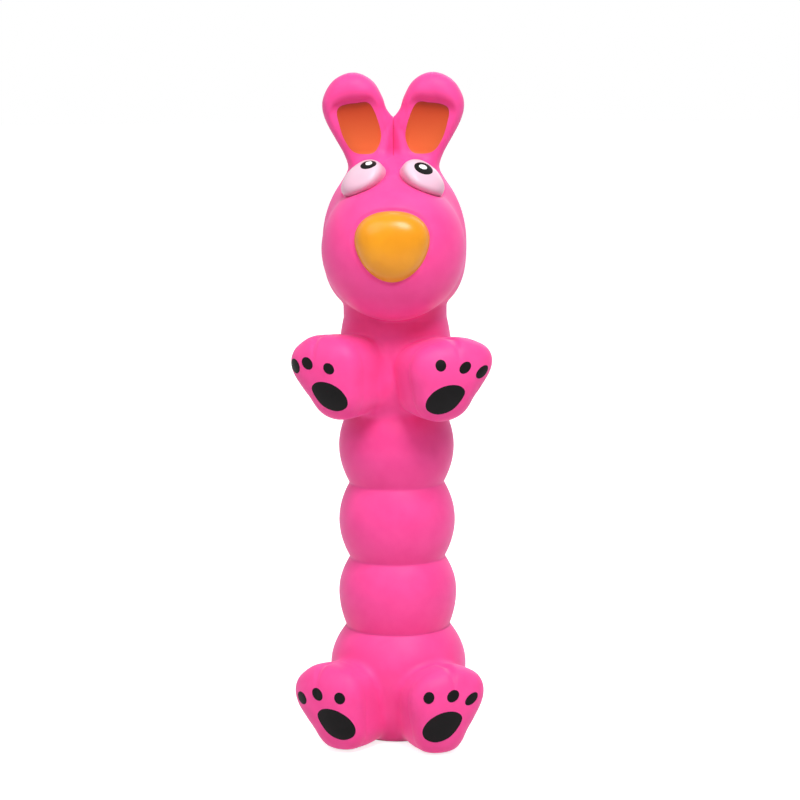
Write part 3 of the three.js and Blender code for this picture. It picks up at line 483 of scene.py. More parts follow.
for name, zone, middle, edge, ring_body, fold_body, nodes in belly_halves:
    half = ring_piece(name, zone, min(middle, edge), max(middle, edge), latex)
    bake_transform(half)
    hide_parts(*nodes)
folded = {"hip": HIP, "low_belly": LOW_BELLY, "mid_belly": MID_BELLY, "top_belly": TOP_BELLY}
for name, zone in folded.items():
    level, radius = zone["high"], zone["high_rim"] - FOLD_BAND_DEPTH
    rim = math.sqrt(radius ** 2 - FOLD_BAND_REACH ** 2)
    low, high = level - FOLD_BAND_REACH, level + FOLD_BAND_REACH
    arch = {"low": low, "low_rim": rim, "widest": level, "radius": radius, "high": high, "high_rim": rim}
    fold_band = ring_piece(f"{name}_fold_band", arch, low, high, latex)
    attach(fold_band, f"{name}_fold")
    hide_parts(f"{name}_fold_ring")


# Chest and arms: the next part of the skin, with an arm moulded to each side. The fold
# under the chest fades out between the arms. The arms' soles face forwards and a little
# outwards, with shallow clefts between the toes.

CHEST = {"low": 100, "low_rim": 14.1, "widest": 113.75, "radius": 17, "high": 127.5, "high_rim": 15.4}
ARMS = {
    "left": {
        "side": 1, "turn": 42, "sole_turn": 24, "sole_roll": 4, "height": 111.5,
        "half_width": 13, "half_height": 11.7,
    },
    "right": {
        "side": -1, "turn": 42.5, "sole_turn": 30, "sole_roll": -6, "height": 112,
        "half_width": 12.1, "half_height": 12.3,
    },
}
ARM_ROOT = 17.5
ARM_FILLETS = {"left": 1.2, "right": 5}
ARM_FILLET_TOP = 119
ARM_FILLET_RUN = 9
ARM_CREASE = 1.5
CHEST_FOLD_END = 100.3
NECK_START = 123.3
BACK_SOFTNESS = 0.7
FRONT_SOFTNESS = 2
FRONT_SPREAD = 32


def chest_and_arms(points):
    """How far outside the chest and the arms each point is."""
    turn = np.degrees(np.arctan2(points[:, 0], -points[:, 1]))
    soft = BACK_SOFTNESS + (FRONT_SOFTNESS - BACK_SOFTNESS) * np.exp(-(turn / FRONT_SPREAD) ** 2)
    form = smooth_union(barrel(TOP_BELLY, points), barrel(CHEST, points), soft)
    low = np.clip((ARM_FILLET_TOP - points[:, 2]) / ARM_FILLET_RUN, 0, 1)
    for name, reach in ARM_FILLETS.items():
        form = smooth_union(form, paw(ARMS[name], points), ARM_CREASE + (reach - ARM_CREASE) * low)
    return form


def off_arms(points):
    """Which points lie on neither arm."""
    return ~past_root(points, ARMS["left"], ARM_ROOT) & ~past_root(points, ARMS["right"], ARM_ROOT)


chest_skin = surface_of(chest_and_arms, (-32, -33, CHEST_FOLD_START - 2), (32, 20, 129), SKIN_STEP)
chest_skin = trimmed(chest_skin, CHEST_FOLD_START, above=True)
chest_skin = trimmed(chest_skin, CHEST["high"], above=False)
chest_fold = skin_piece(
    "chest_fold", chest_skin, chest_and_arms, lambda p: off_arms(p) & (p[:, 2] < CHEST_FOLD_END), latex
)
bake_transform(chest_fold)
chest = skin_piece(
    "chest", chest_skin, chest_and_arms,
    lambda p: off_arms(p) & (p[:, 2] >= CHEST_FOLD_END) & (p[:, 2] < NECK_START), latex,
)
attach(chest, "chest")
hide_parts("chest_skin")
chest_top = skin_piece(
    "chest_top", chest_skin, chest_and_arms, lambda p: off_arms(p) & (p[:, 2] >= NECK_START), latex
)
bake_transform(chest_top)
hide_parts("neck_fold_ring")
for name, limb in ARMS.items():
    arm = skin_piece(f"arm_{name}", chest_skin, chest_and_arms, lambda p: past_root(p, limb, ARM_ROOT), latex)
    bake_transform(arm)
    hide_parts(f"arm_skin_{name}", f"arm_fold_{name}")


# Head: the top of the skin, a round skull with a ball of a muzzle in front of it, and
# the roots of the ears. Its collar meets the neck in a fold under the chin. It looks a
# few degrees to the toy's left.

NECK_Z = CHEST["high"]
NECK_TURN_END = NECK_Z + 0.7
HEAD_TURN = 3
SKULL = {"centre": (0, 0, NECK_Z + 22.5), "half": (21.4, 18, 26, 22), "power": 2.7}
MUZZLE = {"centre": (0, -14.6, NECK_Z + 21.7), "half": (21, 19.5, 20.9, 20.9), "power": 2}
BROW = {"centre": (0, -7, NECK_Z + 35), "half": (14, 10.5, 10, 10), "power": 2}
COLLAR_TOP = NECK_Z + 7
MUZZLE_FILLET = 3.6
BROW_FILLET = 5
COLLAR_FILLET = 1
EAR_FOLD_Z = NECK_Z + 46.2
NOSE_Z = NECK_Z + 23.6
NOSE_LEVEL = MUZZLE["centre"][1] - MUZZLE["half"][1] + 6
NOSE_HALF = (10.9, 10.45)
NOSE_BULGE = 8.6
NOSE_POWER = 2.6
NOSE_BACK = 1.5
NOSE_SHARES = [
    (-0.88, -0.33), (-0.52, -0.8), (0, -1), (0.52, -0.8), (0.88, -0.33), (1, 0.2),
    (0.88, 0.62), (0.5, 0.92), (0, 1), (-0.5, 0.92), (-0.88, 0.62), (-1, 0.2),
]
EYE_HEART = np.array([8.7, -17, NECK_Z + 42.8])
EYE_LOOK = (10, 16)
EYE_TILT = (35, 40)
EYE_HALF = (6.8, 6)
EYE_SHARES = [
    (-0.88, 0.34), (-0.82, -0.12), (-0.58, -0.54), (-0.2, -0.82), (0.22, -0.96), (0.58, -0.97),
    (0.88, -0.78), (0.98, -0.4), (0.82, 0.2), (0.5, 0.64), (0.15, 0.9), (-0.26, 0.98), (-0.68, 0.78),
]
EYE_BASE = 3.5
EYE_BULGE = 6.6
EYE_POWER = 3.5
EYE_BACK = 6
SEAM_WIDTH = 0.7
SEAM_DEPTH = 0.45
EAR_LEAST_Z = EAR_FOLD_Z - 7
EAR_START = EAR_FOLD_Z + 2.1
EAR_FILLET = 2.4
EAR_VALLEY_FILLET = 1.2
EAR_OUTLINE = [
    (-4, -9), (-4, 6), (-0.4, 12.2), (1.9, 15.6), (3.1, 19), (5.6, 23.4), (9.4, 25.9),
    (13.4, 26.1), (17.6, 23.9), (20.3, 19.8), (20.9, 15.8), (19.6, 11.4), (17, 6.6),
    (14.7, 2.4), (13.3, -2), (12.6, -9),
]
EAR_ROOT_DEPTH = 6.2
EAR_LOBE_DEPTH = 5.3
EAR_HEIGHT = 26.3
EAR_CURL = 1.6
EAR_CREASE_DEPTH = 4.9
EAR_CREASE_WIDTH = 4.6
EAR_CREASE_POWER = 1.25
EAR_POCKET = [
    (3.3, 8.6), (4.9, 3.2), (8.4, 2.2), (12, 3.1), (14.6, 6.8), (16.1, 11.4), (16.7, 15), (15.3, 16.9),
    (11, 17.7), (6.4, 17.2),
]
POCKET_MARGIN = 0.6
POCKET_TOP = 17
POCKET_TOP_DEPTH = 3.2
POCKET_LOW_DEPTH = 1.2
POCKET_FLOOR_ROUNDING = 2.2
POCKET_ROUNDING = 3.4
EAR_CURVE_POINTS = 72


def ball(shape, points):
    """How far outside a swollen ball each point is: half sizes along X and Y, then up and down."""
    wide, deep, rise, drop = shape["half"]
    away = points - shape["centre"]
    under = away[:, 2] < 0
    power = np.where(under, shape["power"], 2)
    tall = np.where(under, drop, rise)
    flat = np.maximum(np.hypot(away[:, 0] / wide, away[:, 1] / deep), 1e-6)
    lift = np.maximum(np.abs(away[:, 2]) / tall, 1e-6)
    whole = (flat ** power + lift ** power) ** (1 / power)
    level = flat ** (power - 2) * np.hypot(away[:, 0] / wide ** 2, away[:, 1] / deep ** 2)
    steep = whole ** (1 - power) * np.hypot(level, lift ** (power - 1) / tall)
    return (whole - 1) / np.maximum(steep, 1e-3)


def outside(outline, across, up):
    """How far outside a closed outline each point is, in its plane."""
    curve = closed_curve(outline, EAR_CURVE_POINTS)
    ahead = np.roll(curve, -1, 0)
    nearest = np.full(len(across), np.inf)
    winding = np.zeros(len(across), int)
    for (ax, az), (bx, bz) in zip(curve, ahead):
        dx, dz = bx - ax, bz - az
        share = np.clip(((across - ax) * dx + (up - az) * dz) / (dx * dx + dz * dz), 0, 1)
        nearest = np.minimum(nearest, (across - ax - share * dx) ** 2 + (up - az - share * dz) ** 2)
        left = dx * (up - az) - dz * (across - ax) > 0
        winding += ((az <= up) & (bz > up) & left).astype(int) - ((az > up) & (bz <= up) & ~left).astype(int)
    return np.sqrt(nearest) * np.where(winding != 0, -1, 1)


def ear_middle(up):
    """Where the middle of an ear's thickness is at a height: the ear curls forwards."""
    return -EAR_CURL * np.maximum(up / EAR_HEIGHT, 0) ** 2


def ear(points, side):
    """How far outside one ear each point is: a slab with round edges and a pocket in front."""
    across, up = points[:, 0] * side, points[:, 2] - EAR_FOLD_Z
    climb = np.clip(up / EAR_HEIGHT, 0, 1)
    half = EAR_ROOT_DEPTH + (EAR_LOBE_DEPTH - EAR_ROOT_DEPTH) * climb
    crease = np.clip(1 - np.abs(points[:, 0]) / EAR_CREASE_WIDTH, 0, 1) ** EAR_CREASE_POWER
    half = half - EAR_CREASE_DEPTH * crease
    deep = points[:, 1] - ear_middle(up)
    slab = np.hypot(np.maximum(outside(EAR_OUTLINE, across, up) + half, 0), deep) - half
    depth = POCKET_LOW_DEPTH + (POCKET_TOP_DEPTH - POCKET_LOW_DEPTH) * np.clip(up / POCKET_TOP, 0, 1)
    within = POCKET_MARGIN - outside(EAR_POCKET, across, up)
    pocket = -smooth_union(within, depth - half - deep, POCKET_FLOOR_ROUNDING)
    return smooth_cut(slab, pocket, POCKET_ROUNDING)


nose_waves = outline_waves(NOSE_SHARES)
eye_waves = outline_waves(EYE_SHARES)
eye_look = heading(*EYE_LOOK)
eye_across = np.cross([0, 0, 1], eye_look) / math.cos(math.radians(EYE_LOOK[1]))
eye_up = np.cross(eye_look, eye_across)


def nose_form(points):
    """How far outside the nose each point is: a dome over a rounded triangle."""
    across, up = points[:, 0] / NOSE_HALF[0], (points[:, 2] - NOSE_Z) / NOSE_HALF[1]
    share = np.hypot(across, up) / reach_at(nose_waves, np.arctan2(up, across))
    out = NOSE_LEVEL - points[:, 1]
    dome = np.maximum(out, 0) / NOSE_BULGE
    whole = (share ** NOSE_POWER + dome ** NOSE_POWER) ** (1 / NOSE_POWER)
    return np.maximum((whole - 1) * NOSE_HALF[1], -NOSE_BACK - out)


def eye_form(points):
    """How far outside the left eye each point is: a bulging drop that looks forwards."""
    away = points - EYE_HEART
    across, up = away @ eye_across / EYE_HALF[0], away @ eye_up / EYE_HALF[1]
    share = np.hypot(across, up) / reach_at(eye_waves, np.arctan2(up, across))
    out = away @ heading(*EYE_TILT) + EYE_BASE
    dome = np.maximum(out, 0) / EYE_BULGE
    whole = (share ** EYE_POWER + dome ** EYE_POWER) ** (1 / EYE_POWER)
    return np.maximum((whole - 1) * EYE_HALF[1], -EYE_BACK - out)


def head_and_ears(points):
    """How far outside the head and the ears each point is, with a groove round nose and eyes."""
    form = smooth_union(ball(SKULL, points), ball(MUZZLE, points), MUZZLE_FILLET)
    form = smooth_union(form, ball(BROW, points), BROW_FILLET)
    out = np.hypot(points[:, 0], points[:, 1])
    collar = np.maximum(out - CHEST["high_rim"], points[:, 2] - COLLAR_TOP)
    form = smooth_union(form, collar, COLLAR_FILLET)
    high = points[:, 2] > EAR_LEAST_Z
    ears = smooth_union(ear(points[high], 1), ear(points[high], -1), EAR_VALLEY_FILLET)
    form[high] = smooth_union(form[high], ears, EAR_FILLET)
    mirrored = np.abs(points[:, 0:1]) * [1, 0, 0] + points * [0, 1, 1]
    off = np.maximum(np.minimum(nose_form(points), eye_form(mirrored)), 0) / SEAM_WIDTH
    return form + SEAM_DEPTH * np.exp(-off * off)


head_skin = surface_of(head_and_ears, (-24, -37, NECK_Z - 1.5), (24, 20, EAR_START + 1.5), SKIN_STEP)
head_skin = trimmed(trimmed(head_skin, NECK_Z, above=True), EAR_START, above=False)
neck = skin_piece("neck", head_skin, head_and_ears, lambda p: p[:, 2] < NECK_TURN_END, latex, HEAD_TURN)
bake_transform(neck)
head = skin_piece("head", head_skin, head_and_ears, lambda p: p[:, 2] >= NECK_TURN_END, latex, HEAD_TURN)
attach(head, "head")
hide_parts("head_skin")


# Ears: two lobes of the same skin on top of the head, pressed together at the root. The
# pocket in the front of each is painted orange, and the paint ends in a clean edge.

EAR_PARTING = 0.004
PARTING_ROUNDING = 0.1
EAR_STEP = SKIN_STEP * 0.75
LINING_FILM = 0.1
LINING_SHARE = 0.97
# Heights above the ear fold over which painted shade darkens the pocket's orange towards the top.
LINING_SHADE_SPAN = (5, 17)
LANDING_START = 30
LANDING_ROUNDS = 70
LANDING_SHARE = 0.75
LANDING_STEPS = (-0.5, 1.5)
PATCH_SIDES = 72
PATCH_SHARES = np.array([0, 0.2, 0.4, 0.6, 0.75, 0.86, 0.93, 0.965, 0.985, 1])
PATCH_EDGE = 0.93
PATCH_SINK = 0.05


def left_ear(points):
    """How far outside the head and the left ear each point is."""
    return smooth_cut(head_and_ears(points), points[:, 0] - EAR_PARTING, PARTING_ROUNDING)


def landed(form, points, direction):
    """Where points that start outside a form meet it when they move in a direction."""
    for _ in range(LANDING_ROUNDS):
        points = points + direction * np.clip(form(points) * LANDING_SHARE, *LANDING_STEPS)[:, None]
    return points


def paint_patch(name, form, heart, facing, outline, film, material, side=1, turn=0):
    """A film of paint on a form: an outline round a line from the heart, seen from the facing
    side. The film's edge rounds down onto the form. The side mirrors the patch."""
    facing = facing / np.linalg.norm(facing)
    across = np.cross([0, 0, 1], facing)
    across /= np.linalg.norm(across)
    up = np.cross(facing, across)
    curve = closed_curve(outline, PATCH_SIDES)
    start = heart + facing * LANDING_START
    spread = np.outer(curve[:, 0], across) + np.outer(curve[:, 1], up)
    points = np.vstack([start[None], *(start + share * spread for share in PATCH_SHARES[1:])])
    points = landed(form, points, -facing)
    normals = slope_of(form, points)
    normals /= np.linalg.norm(normals, axis=1)[:, None]
    rounding = np.sqrt(1 - np.clip((PATCH_SHARES - PATCH_EDGE) / (1 - PATCH_EDGE), 0, 1) ** 2)
    heights = np.concatenate([[1], np.repeat(rounding[1:], PATCH_SIDES)])
    lifts = heights * (film + PATCH_SINK) - PATCH_SINK
    points = points + normals * lifts[:, None]
    faces = [(0, 1 + i, 1 + (i + 1) % PATCH_SIDES) for i in range(PATCH_SIDES)]
    for row in range(len(PATCH_SHARES) - 2):
        for i in range(PATCH_SIDES):
            a = 1 + row * PATCH_SIDES + i
            b = 1 + row * PATCH_SIDES + (i + 1) % PATCH_SIDES
            faces.append((a, a + PATCH_SIDES, b + PATCH_SIDES, b))
    return piece_of(name, points, faces, normals, material, turn, side)


def height_tint(nodes, links, shader, low, high, tints):
    """A colour that changes with the height on the toy."""
    place = nodes.new("ShaderNodeTexCoord")
    parts = nodes.new("ShaderNodeSeparateXYZ")
    height = nodes.new("ShaderNodeMapRange")
    height.inputs["From Min"].default_value = low * MM
    height.inputs["From Max"].default_value = high * MM
    fade = nodes.new("ShaderNodeValToRGB")
    for element, tint in zip(fade.color_ramp.elements, tints):
        element.color = colour(tint)
    links.new(place.outputs["Object"], parts.inputs["Vector"])
    links.new(parts.outputs["Z"], height.inputs["Value"])
    links.new(height.outputs["Result"], fade.inputs["Fac"])
    links.new(fade.outputs["Color"], shader.inputs["Base Color"])


def ear_paint():
    material, nodes, links, shader = finish_of("orange ear paint", "f0703c", 0.42)
    low, high = (EAR_FOLD_Z + up for up in LINING_SHADE_SPAN)
    # Darker towards the top of the pocket: painted shade under the ear lobe's overhang, laid over the orange
    # paint.
    height_tint(nodes, links, shader, low, high, ("de6232", "ae3416"))
    grain(nodes, links, shader, 1800, 0.015)
    shader.inputs["Specular IOR Level"].default_value = 0.25
    return material


orange = ear_paint()
ear_skin = surface_of(left_ear, (-1, -11, EAR_START - 1.5), (23, 9, EAR_FOLD_Z + 28), EAR_STEP)
ear_skin = trimmed(ear_skin, EAR_START, above=True)
pocket_middle = np.array(EAR_POCKET).mean(0)
pocket_heart = np.array([pocket_middle[0], 0, EAR_FOLD_Z + pocket_middle[1]])
pocket_outline = (np.array(EAR_POCKET) - pocket_middle) * LINING_SHARE
for name, side in (("left", 1), ("right", -1)):
    ear_piece = skin_piece(f"ear_{name}", ear_skin, left_ear, lambda p: p[:, 2] > 0, latex, HEAD_TURN, side)
    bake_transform(ear_piece)
    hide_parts(f"ear_skin_{name}", f"ear_fold_{name}")
    lining = paint_patch(
        f"ear_lining_{name}_paint", left_ear, pocket_heart, np.array([0.0, -1.0, 0.0]),
        pocket_outline, LINING_FILM, orange, side, HEAD_TURN,
    )
    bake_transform(lining)
    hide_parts(f"ear_lining_{name}")


# Nose: a raised button of the skin on the front of the muzzle, dipped in a yellow-orange
# paint that is glossier than the latex. It is broad above and narrow below.

NOSE_STEP = 0.5


def nose_paint():
    material, nodes, links, shader = finish_of("yellow nose paint", "e6960a", 0.27)
    mottle(nodes, links, shader, ("e79308", "ed9a0e"), 140)
    grain(nodes, links, shader, 900, 0.02)
    shader.inputs["Specular IOR Level"].default_value = 0.3
    shader.inputs["Coat Weight"].default_value = 0.1
    shader.inputs["Coat Roughness"].default_value = 0.25
    return material


nose_heart = np.array([0, NOSE_LEVEL, NOSE_Z])
nose_surface = surface_of(nose_form, nose_heart - [14, 11, 14], nose_heart + [14, 3, 14], NOSE_STEP)
normals = slope_of(nose_form, nose_surface[0])
nose = piece_of("nose_button", *nose_surface, normals, nose_paint(), HEAD_TURN)
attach(nose, "head")
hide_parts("nose")


# Eyes: two bulging drops where the muzzle meets the brow, moulded with the skin and
# painted pale pink. Each has a black pupil, painted on near its top, with a white glint.

PUPILS = {
    "left": {"place": (0, 1.9), "half": (2.9, 2), "roll": -13, "glint": (1.25, 0.75)},
    "right": {"place": (-2, 3.2), "half": (2.4, 1.5), "roll": -8, "glint": (1, 0.65)},
}
GLINT_SHIFT = (-0.15, 0.45)
PUPIL_FILM = 0.12
GLINT_FILM = 0.08
EYE_STEP = 0.45


def pupil_form(points):
    """How far outside the left eye's painted pupil each point is."""
    return eye_form(points) - PUPIL_FILM


def oval(half_width, half_height, roll):
    """Points of an oval outline, rolled anticlockwise as it is seen."""
    turns = np.arange(12) * math.pi / 6
    flat = np.stack([half_width * np.cos(turns), half_height * np.sin(turns)], 1)
    c, s = math.cos(math.radians(roll)), math.sin(math.radians(roll))
    return flat @ np.array([[c, s], [-s, c]])


def eye_paint():
    material, nodes, links, shader = finish_of("pale eye paint", "f8d3e3", 0.35)
    low, high = EYE_HEART[2] - EYE_HALF[1], EYE_HEART[2] + EYE_HALF[1]
    # Whiter towards the top and pinker towards the bottom: painted light from above on the pale paint, with
    # painted shade below.
    height_tint(nodes, links, shader, low, high, ("dba4bd", "f0d0de"))
    grain(nodes, links, shader, 1500, 0.012)
    shader.inputs["Specular IOR Level"].default_value = 0.3
    return material


def black_paint():
    material, nodes, links, shader = finish_of("black paint", "0b090a", 0.42)
    mottle(nodes, links, shader, ("090708", "0e0b0d"), 300)
    grain(nodes, links, shader, 2200, 0.03)
    shader.inputs["Specular IOR Level"].default_value = 0.12
    return material


def white_paint():
    material, nodes, links, shader = finish_of("white paint", "ffffff", 0.3)
    mottle(nodes, links, shader, ("fdfdfd", "ffffff"), 300)
    grain(nodes, links, shader, 1500, 0.01)
    return material


pale, black, white = eye_paint(), black_paint(), white_paint()
eye_surface = surface_of(eye_form, EYE_HEART - [9, 8, 9], EYE_HEART + [9, 16, 9], EYE_STEP)
normals = slope_of(eye_form, eye_surface[0])
for name, side in (("left", 1), ("right", -1)):
    eye = piece_of(f"eye_{name}_ball", *eye_surface, normals, pale, HEAD_TURN, side)
    sizes = PUPILS[name]
    heart = EYE_HEART + eye_across * sizes["place"][0] + eye_up * sizes["place"][1]
    pupil = paint_patch(
        f"pupil_{name}_paint", eye_form, heart, eye_look, oval(*sizes["half"], sizes["roll"]),
        PUPIL_FILM, black, side, HEAD_TURN,
    )
    heart = heart + eye_across * GLINT_SHIFT[0] + eye_up * GLINT_SHIFT[1]
    glint = paint_patch(
        f"glint_{name}_paint", pupil_form, heart, eye_look, oval(*sizes["glint"], sizes["roll"]),
        GLINT_FILM, white, side, HEAD_TURN,
    )
    finishes = ((eye, "eye", "eye_paint"), (pupil, "pupil", "black_paint"), (glint, "glint", "white_paint"))
    for piece, node, finish in finishes:
        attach(piece, "head")
        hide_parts(f"{node}_{name}")


# Paw paint: a black pad on the heel of each sole and three toe spots above it, sprayed
# through a mask. Each patch follows the sole under it.

PAD_SHARES = [
    (-0.88, -0.76), (-0.36, -1), (0.3, -0.74), (0.77, -0.14), (1, 0.46), (0.76, 0.86),
    (0.3, 0.99), (-0.24, 0.86), (-0.72, 0.44), (-0.98, -0.2),
]
PAINT_FILM = 0.12
ARM_PAINT = {
    "left": {
        "pad": (9, -23.9, 5.8, 4.5),
        "toes": [(1.5, 25, 1.6, 1.75, 0), (39.4, 20.7, 1.45, 2.1, -52), (64, 11.2, 1.5, 2.6, -58)],
    },
    "right": {
        "pad": (13.6, -21.7, 5.7, 4.4),
        "toes": [(12, 18.2, 1.5, 1.9, -55), (50.7, 22.3, 1.6, 2.3, -60), (73, 14.5, 1.9, 2.7, -62)],
    },
}
LEG_PAINT = {
    "left": {
        "pad": (10.1, -14.4, 6, 4.7),
        "toes": [(-10.3, 26.9, 1.6, 1.8, -20), (26.8, 29.4, 1.6, 2.1, -55), (55.5, 20.4, 1.4, 2.6, -60)],
    },
    "right": {
        "pad": (8.9, -14.1, 6, 4.7),
        "toes": [(1.2, 23.6, 1.65, 1.8, -40), (40.3, 26, 1.6, 2.2, -55), (68, 14, 1.6, 2.3, -60)],
    },
}


def paint_paw(limb, form, paints, word, name):
    """The pad and the toe spots of one paw. Each is laid square onto the sole, at the place
    where a line from the paw's heart comes out of it."""
    side = limb["side"]
    heart = heading(limb["turn"]) * (LIMB_REACH - SOLE_DOME / 2) + [0, 0, limb["height"]]

    def mirrored(points):
        return form(points * [side, 1, 1])

    def laid(piece_name, turn, lift, outline):
        line = heading(turn, lift)
        place = landed(mirrored, (heart + line * LANDING_START)[None], -line)
        patch = paint_patch(
            f"{piece_name}_paint", mirrored, place[0], slope_of(mirrored, place)[0], outline,
            PAINT_FILM, black, side,
        )
        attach(patch, f"{word}_{name}")
        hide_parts(piece_name)

    turn, lift, half_width, half_height = paints["pad"]
    laid(f"{word}_pad_{name}", turn, lift, np.array(PAD_SHARES) * [half_width, half_height])
    for number, (turn, lift, half_width, half_height, roll) in enumerate(paints["toes"], 1):
        laid(f"{word}_toe_spot_{name}_{number}", turn, lift, oval(half_width, half_height, roll))


for name in ("left", "right"):
    paint_paw(ARMS[name], chest_and_arms, ARM_PAINT[name], "arm", name)
    paint_paw(LEGS[name], hip_and_legs, LEG_PAINT[name], "leg", name)


# Filling: white polyester fibre, pushed in through the hole in the base. It keeps the
# thin skin in shape, and is one loose wad in each part of the body. It doesn't show.

WAD_CLEARANCE = 3
WAD_LUMP = 0.8
WAD_WAVES = ((0.31, 0.23, 0.27), (-0.21, 0.34, 0.18))
WAD_STEP = 1.5
WAD_MARGIN = 2
WAD_ROUNDING = 5
ZONE_RIM = 2.6
HIP_WAD_FLOOR = 2.8
HEAD_WAD_TOP = EAR_FOLD_Z - 3.6
HEAD_WAD_FILLET = 1.8
SQUEAKER_TOP = 11.4
SQUEAKER_ROOM = 0.4


def fibre_fill():
    material, nodes, links, shader = finish_of("white fibre", "f4f2ee", 0.95)
    mottle(nodes, links, shader, ("eceae6", "f8f6f3"), 400)
    grain(nodes, links, shader, 900, 0.4)
    shader.inputs["Sheen Weight"].default_value = 0.3
    return material


def wad(name, node, body, form, low, high):
    """A wad that fills a form inside the skin between two levels."""
    def shape(points):
        inner = form(points) + WAD_CLEARANCE
        ends = np.maximum(low - points[:, 2], points[:, 2] - high)
        wave = np.sin(points @ WAD_WAVES[0]) * np.sin(points @ WAD_WAVES[1])
        return -smooth_union(-inner, -ends, WAD_ROUNDING) + WAD_LUMP * (0.5 + 0.5 * wave)
    box_low, box_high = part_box(node)
    corner = np.array(box_low) / MM - [0, AXIS_Y, 0] - WAD_MARGIN
    far = np.array(box_high) / MM - [0, AXIS_Y, 0] + WAD_MARGIN
    points, faces = surface_of(shape, corner, far, WAD_STEP)
    piece = piece_of(name, points, faces, slope_of(shape, points), fibre)
    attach(piece, body)
    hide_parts(node)


def hip_room(points):
    """The inside of the hip, apart from the room round the squeaker."""
    out = np.hypot(points[:, 0], points[:, 1]) - SQUEAKER_HOLE_RADIUS - SQUEAKER_ROOM
    squeaker = np.maximum(out, points[:, 2] - SQUEAKER_TOP) - WAD_CLEARANCE
    return np.maximum(barrel(HIP, points), -squeaker)


def head_room(points):
    """The inside of the skull and the muzzle."""
    return smooth_union(ball(SKULL, points), ball(MUZZLE, points), HEAD_WAD_FILLET)


fibre = fibre_fill()
wad("hip_wad", "hip_fill", "hip", hip_room, HIP_WAD_FLOOR, HIP["high"] - ZONE_RIM)
barrels = {"low_belly": LOW_BELLY, "mid_belly": MID_BELLY, "top_belly": TOP_BELLY, "chest": CHEST}
for word, zone in barrels.items():
    wad(
        f"{word}_wad", f"{word}_fill", word, lambda p: barrel(zone, p),
        zone["low"] + ZONE_RIM, zone["high"] - ZONE_RIM,
    )
wad("head_wad", "head_fill", "head", head_room, NECK_Z + ZONE_RIM, HEAD_WAD_TOP)


# Squeaker: a cup of white plastic, pressed into the hole in the base so that its lower
# flange is flush with it. A vent in its floor lets the air through to the reed inside.

SQUEAKER_PROFILE = [
    (1.6, 0.5), (1.8, 0.3), (3.4, 0.3), (3.7, 0.55), (4.6, 0.55), (4.9, 0.3), (10.2, 0.3), (10.4, 0.5),
    (10.4, 0.9), (10.2, 1.1), (9, 1.1), (9, 2.7), (10.2, 2.7), (10.4, 2.9), (10.4, 3.3), (10.2, 3.5),
    (9, 3.5), (9, 9.3), (8, 9.3), (8, 3.7), (6.8, 3.7), (6.8, 1.7), (1.6, 1.7),
]
CUP_SIDES = 96
SHARP_EDGE = 40


def squeaker_plastic():
    material, nodes, links, shader = finish_of("squeaker plastic", "f1f1ec", 0.38)
    mottle(nodes, links, shader, ("eeeee9", "f4f4f0"), 90)
    grain(nodes, links, shader, 1200, 0.01)
    return material


def turned_solid(name, profile, material):
    """A closed ring that is turned from a profile of (radius, height)."""
    turns = np.arange(CUP_SIDES) * 2 * math.pi / CUP_SIDES
    rows = [np.stack([r * np.cos(turns), r * np.sin(turns), 0 * turns + z], 1) for r, z in profile]
    points = (np.vstack(rows) + [0, AXIS_Y, 0]) * MM
    faces = []
    for row in range(len(rows)):
        here, following = row * CUP_SIDES, (row + 1) % len(rows) * CUP_SIDES
        for i in range(CUP_SIDES):
            after = (i + 1) % CUP_SIDES
            faces.append((here + i, here + after, following + after, following + i))
    mesh = bpy.data.meshes.new(name)
    mesh.from_pydata(points.tolist(), [], faces)
    mesh.materials.append(material)
    mesh.shade_smooth()
    mesh.set_sharp_from_angle(angle=math.radians(SHARP_EDGE))
    piece = bpy.data.objects.new(name, mesh)
    bpy.context.scene.collection.objects.link(piece)
    return piece


plastic = squeaker_plastic()
housing = turned_solid("squeaker_cup", SQUEAKER_PROFILE, plastic)
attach(housing, "hip")
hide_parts("squeaker_housing")
for node in ("squeaker_reed_plate", "squeaker_cap", "squeaker_reed"):
    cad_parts[node].data.materials.clear()
    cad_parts[node].data.materials.append(plastic)


# Studio: a plain white floor and surroundings, a soft lamp above on the right, a weaker
# one on the left and one behind, and the camera a little above the toy's middle.

CAMERA_TURN = 4.3
CAMERA_LIFT = 9
CAMERA_ROLL = 0.55
CAMERA_DISTANCE = 0.75
CAMERA_AIM_Z = 0.102
CAMERA_LENS = 112.4
FRAME_PIXELS = 800
AIM_PIXEL = (396, 401)
LAMP_AIM_Z = 0.1
FLOOR_HALF = 4
FLOOR_GLOW = 0.8
AMBIENT_LEVEL = 0.26


def lamp(name, turn, lift, distance, size, power):
    """A round soft lamp that looks at the toy's middle, with its sizes in metres."""
    light = bpy.data.lights.new(name, "AREA")
    light.shape = "DISK"
    light.size = size
    light.energy = power
    holder = bpy.data.objects.new(name, light)
    holder.location = heading(turn, lift) * distance + np.array([0, 0, LAMP_AIM_Z])
    holder.rotation_euler = (math.pi / 2 - math.radians(lift), 0, math.radians(turn))
    bpy.context.scene.collection.objects.link(holder)


def seen_directly(nodes):
    """Outputs that are one where the camera looks straight, into a gloss or through something."""
    path = nodes.new("ShaderNodeLightPath")
    return [path.outputs[f"Is {kind} Ray"] for kind in ("Camera", "Glossy", "Transmission")]


def add_up(nodes, links, outputs):
    """The sum of several outputs, one at the most."""
    total = outputs[0]
    for output in outputs[1:]:
        plus = nodes.new("ShaderNodeMath")
        plus.operation = "ADD"
        plus.use_clamp = True
        links.new(total, plus.inputs[0])
        links.new(output, plus.inputs[1])
        total = plus.outputs[0]
    return total


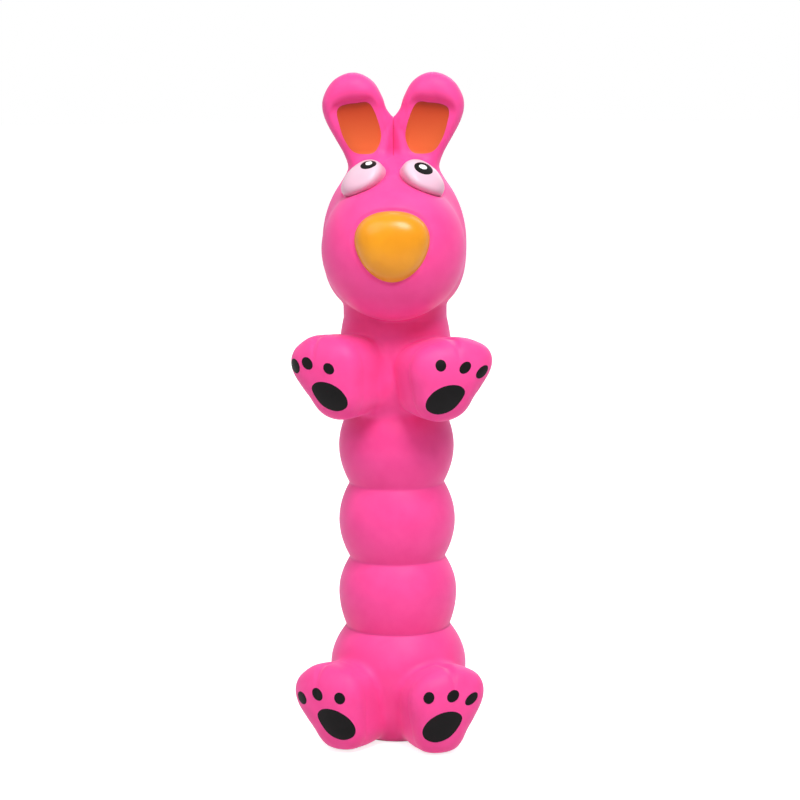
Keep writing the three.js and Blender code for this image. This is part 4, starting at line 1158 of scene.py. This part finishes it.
def floor_material():
    material, nodes, links, shader = finish_of("white floor", "dadada", 0.9)
    glow = nodes.new("ShaderNodeEmission")
    strength = nodes.new("ShaderNodeMath")
    strength.operation = "MULTIPLY"
    strength.inputs[1].default_value = FLOOR_GLOW
    links.new(add_up(nodes, links, seen_directly(nodes)), strength.inputs[0])
    links.new(strength.outputs[0], glow.inputs["Strength"])
    both = nodes.new("ShaderNodeAddShader")
    links.new(shader.outputs[0], both.inputs[0])
    links.new(glow.outputs[0], both.inputs[1])
    links.new(both.outputs[0], nodes["Material Output"].inputs["Surface"])
    return material


floor_mesh = bpy.data.meshes.new("floor")
floor_corners = [(x * FLOOR_HALF, y * FLOOR_HALF, 0) for x, y in ((-1, -1), (1, -1), (1, 1), (-1, 1))]
floor_mesh.from_pydata(floor_corners, [], [(0, 1, 2, 3)])
floor_mesh.materials.append(floor_material())
floor = bpy.data.objects.new("floor", floor_mesh)
bpy.context.scene.collection.objects.link(floor)
floor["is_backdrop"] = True

world = bpy.data.worlds.new("studio")
world.use_nodes = True
bpy.context.scene.world = world
nodes, links = world.node_tree.nodes, world.node_tree.links
background = nodes["Background"]
level = nodes.new("ShaderNodeMapRange")
level.inputs["To Min"].default_value = AMBIENT_LEVEL
level.inputs["To Max"].default_value = 1
links.new(add_up(nodes, links, seen_directly(nodes)), level.inputs["Value"])
links.new(level.outputs["Result"], background.inputs["Strength"])
background.inputs["Color"].default_value = (1, 1, 1, 1)

lamp("key", 28, 54, 0.9, 0.42, 6.6)
lamp("fill", -40, 48, 0.9, 0.7, 2.8)
lamp("back", 165, 35, 1.0, 0.9, 3)

camera_data = bpy.data.cameras.new("camera")
camera_data.lens = CAMERA_LENS
camera_data.sensor_width = 36
camera_data.shift_x = (FRAME_PIXELS / 2 - AIM_PIXEL[0]) / FRAME_PIXELS
camera_data.shift_y = (AIM_PIXEL[1] - FRAME_PIXELS / 2) / FRAME_PIXELS
camera_data.clip_start = 0.01
camera = bpy.data.objects.new("camera", camera_data)
aim = np.array([0, AXIS_Y * MM, CAMERA_AIM_Z])
camera.location = aim + heading(CAMERA_TURN, CAMERA_LIFT) * CAMERA_DISTANCE
level_view = Euler((math.pi / 2 - math.radians(CAMERA_LIFT), 0, math.radians(CAMERA_TURN)))
roll = Matrix.Rotation(math.radians(-CAMERA_ROLL), 3, "Z")
camera.rotation_euler = (level_view.to_matrix() @ roll).to_euler()
bpy.context.scene.collection.objects.link(camera)
bpy.context.scene.camera = camera
bpy.context.scene.view_settings.view_transform = "Standard"

low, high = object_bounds()
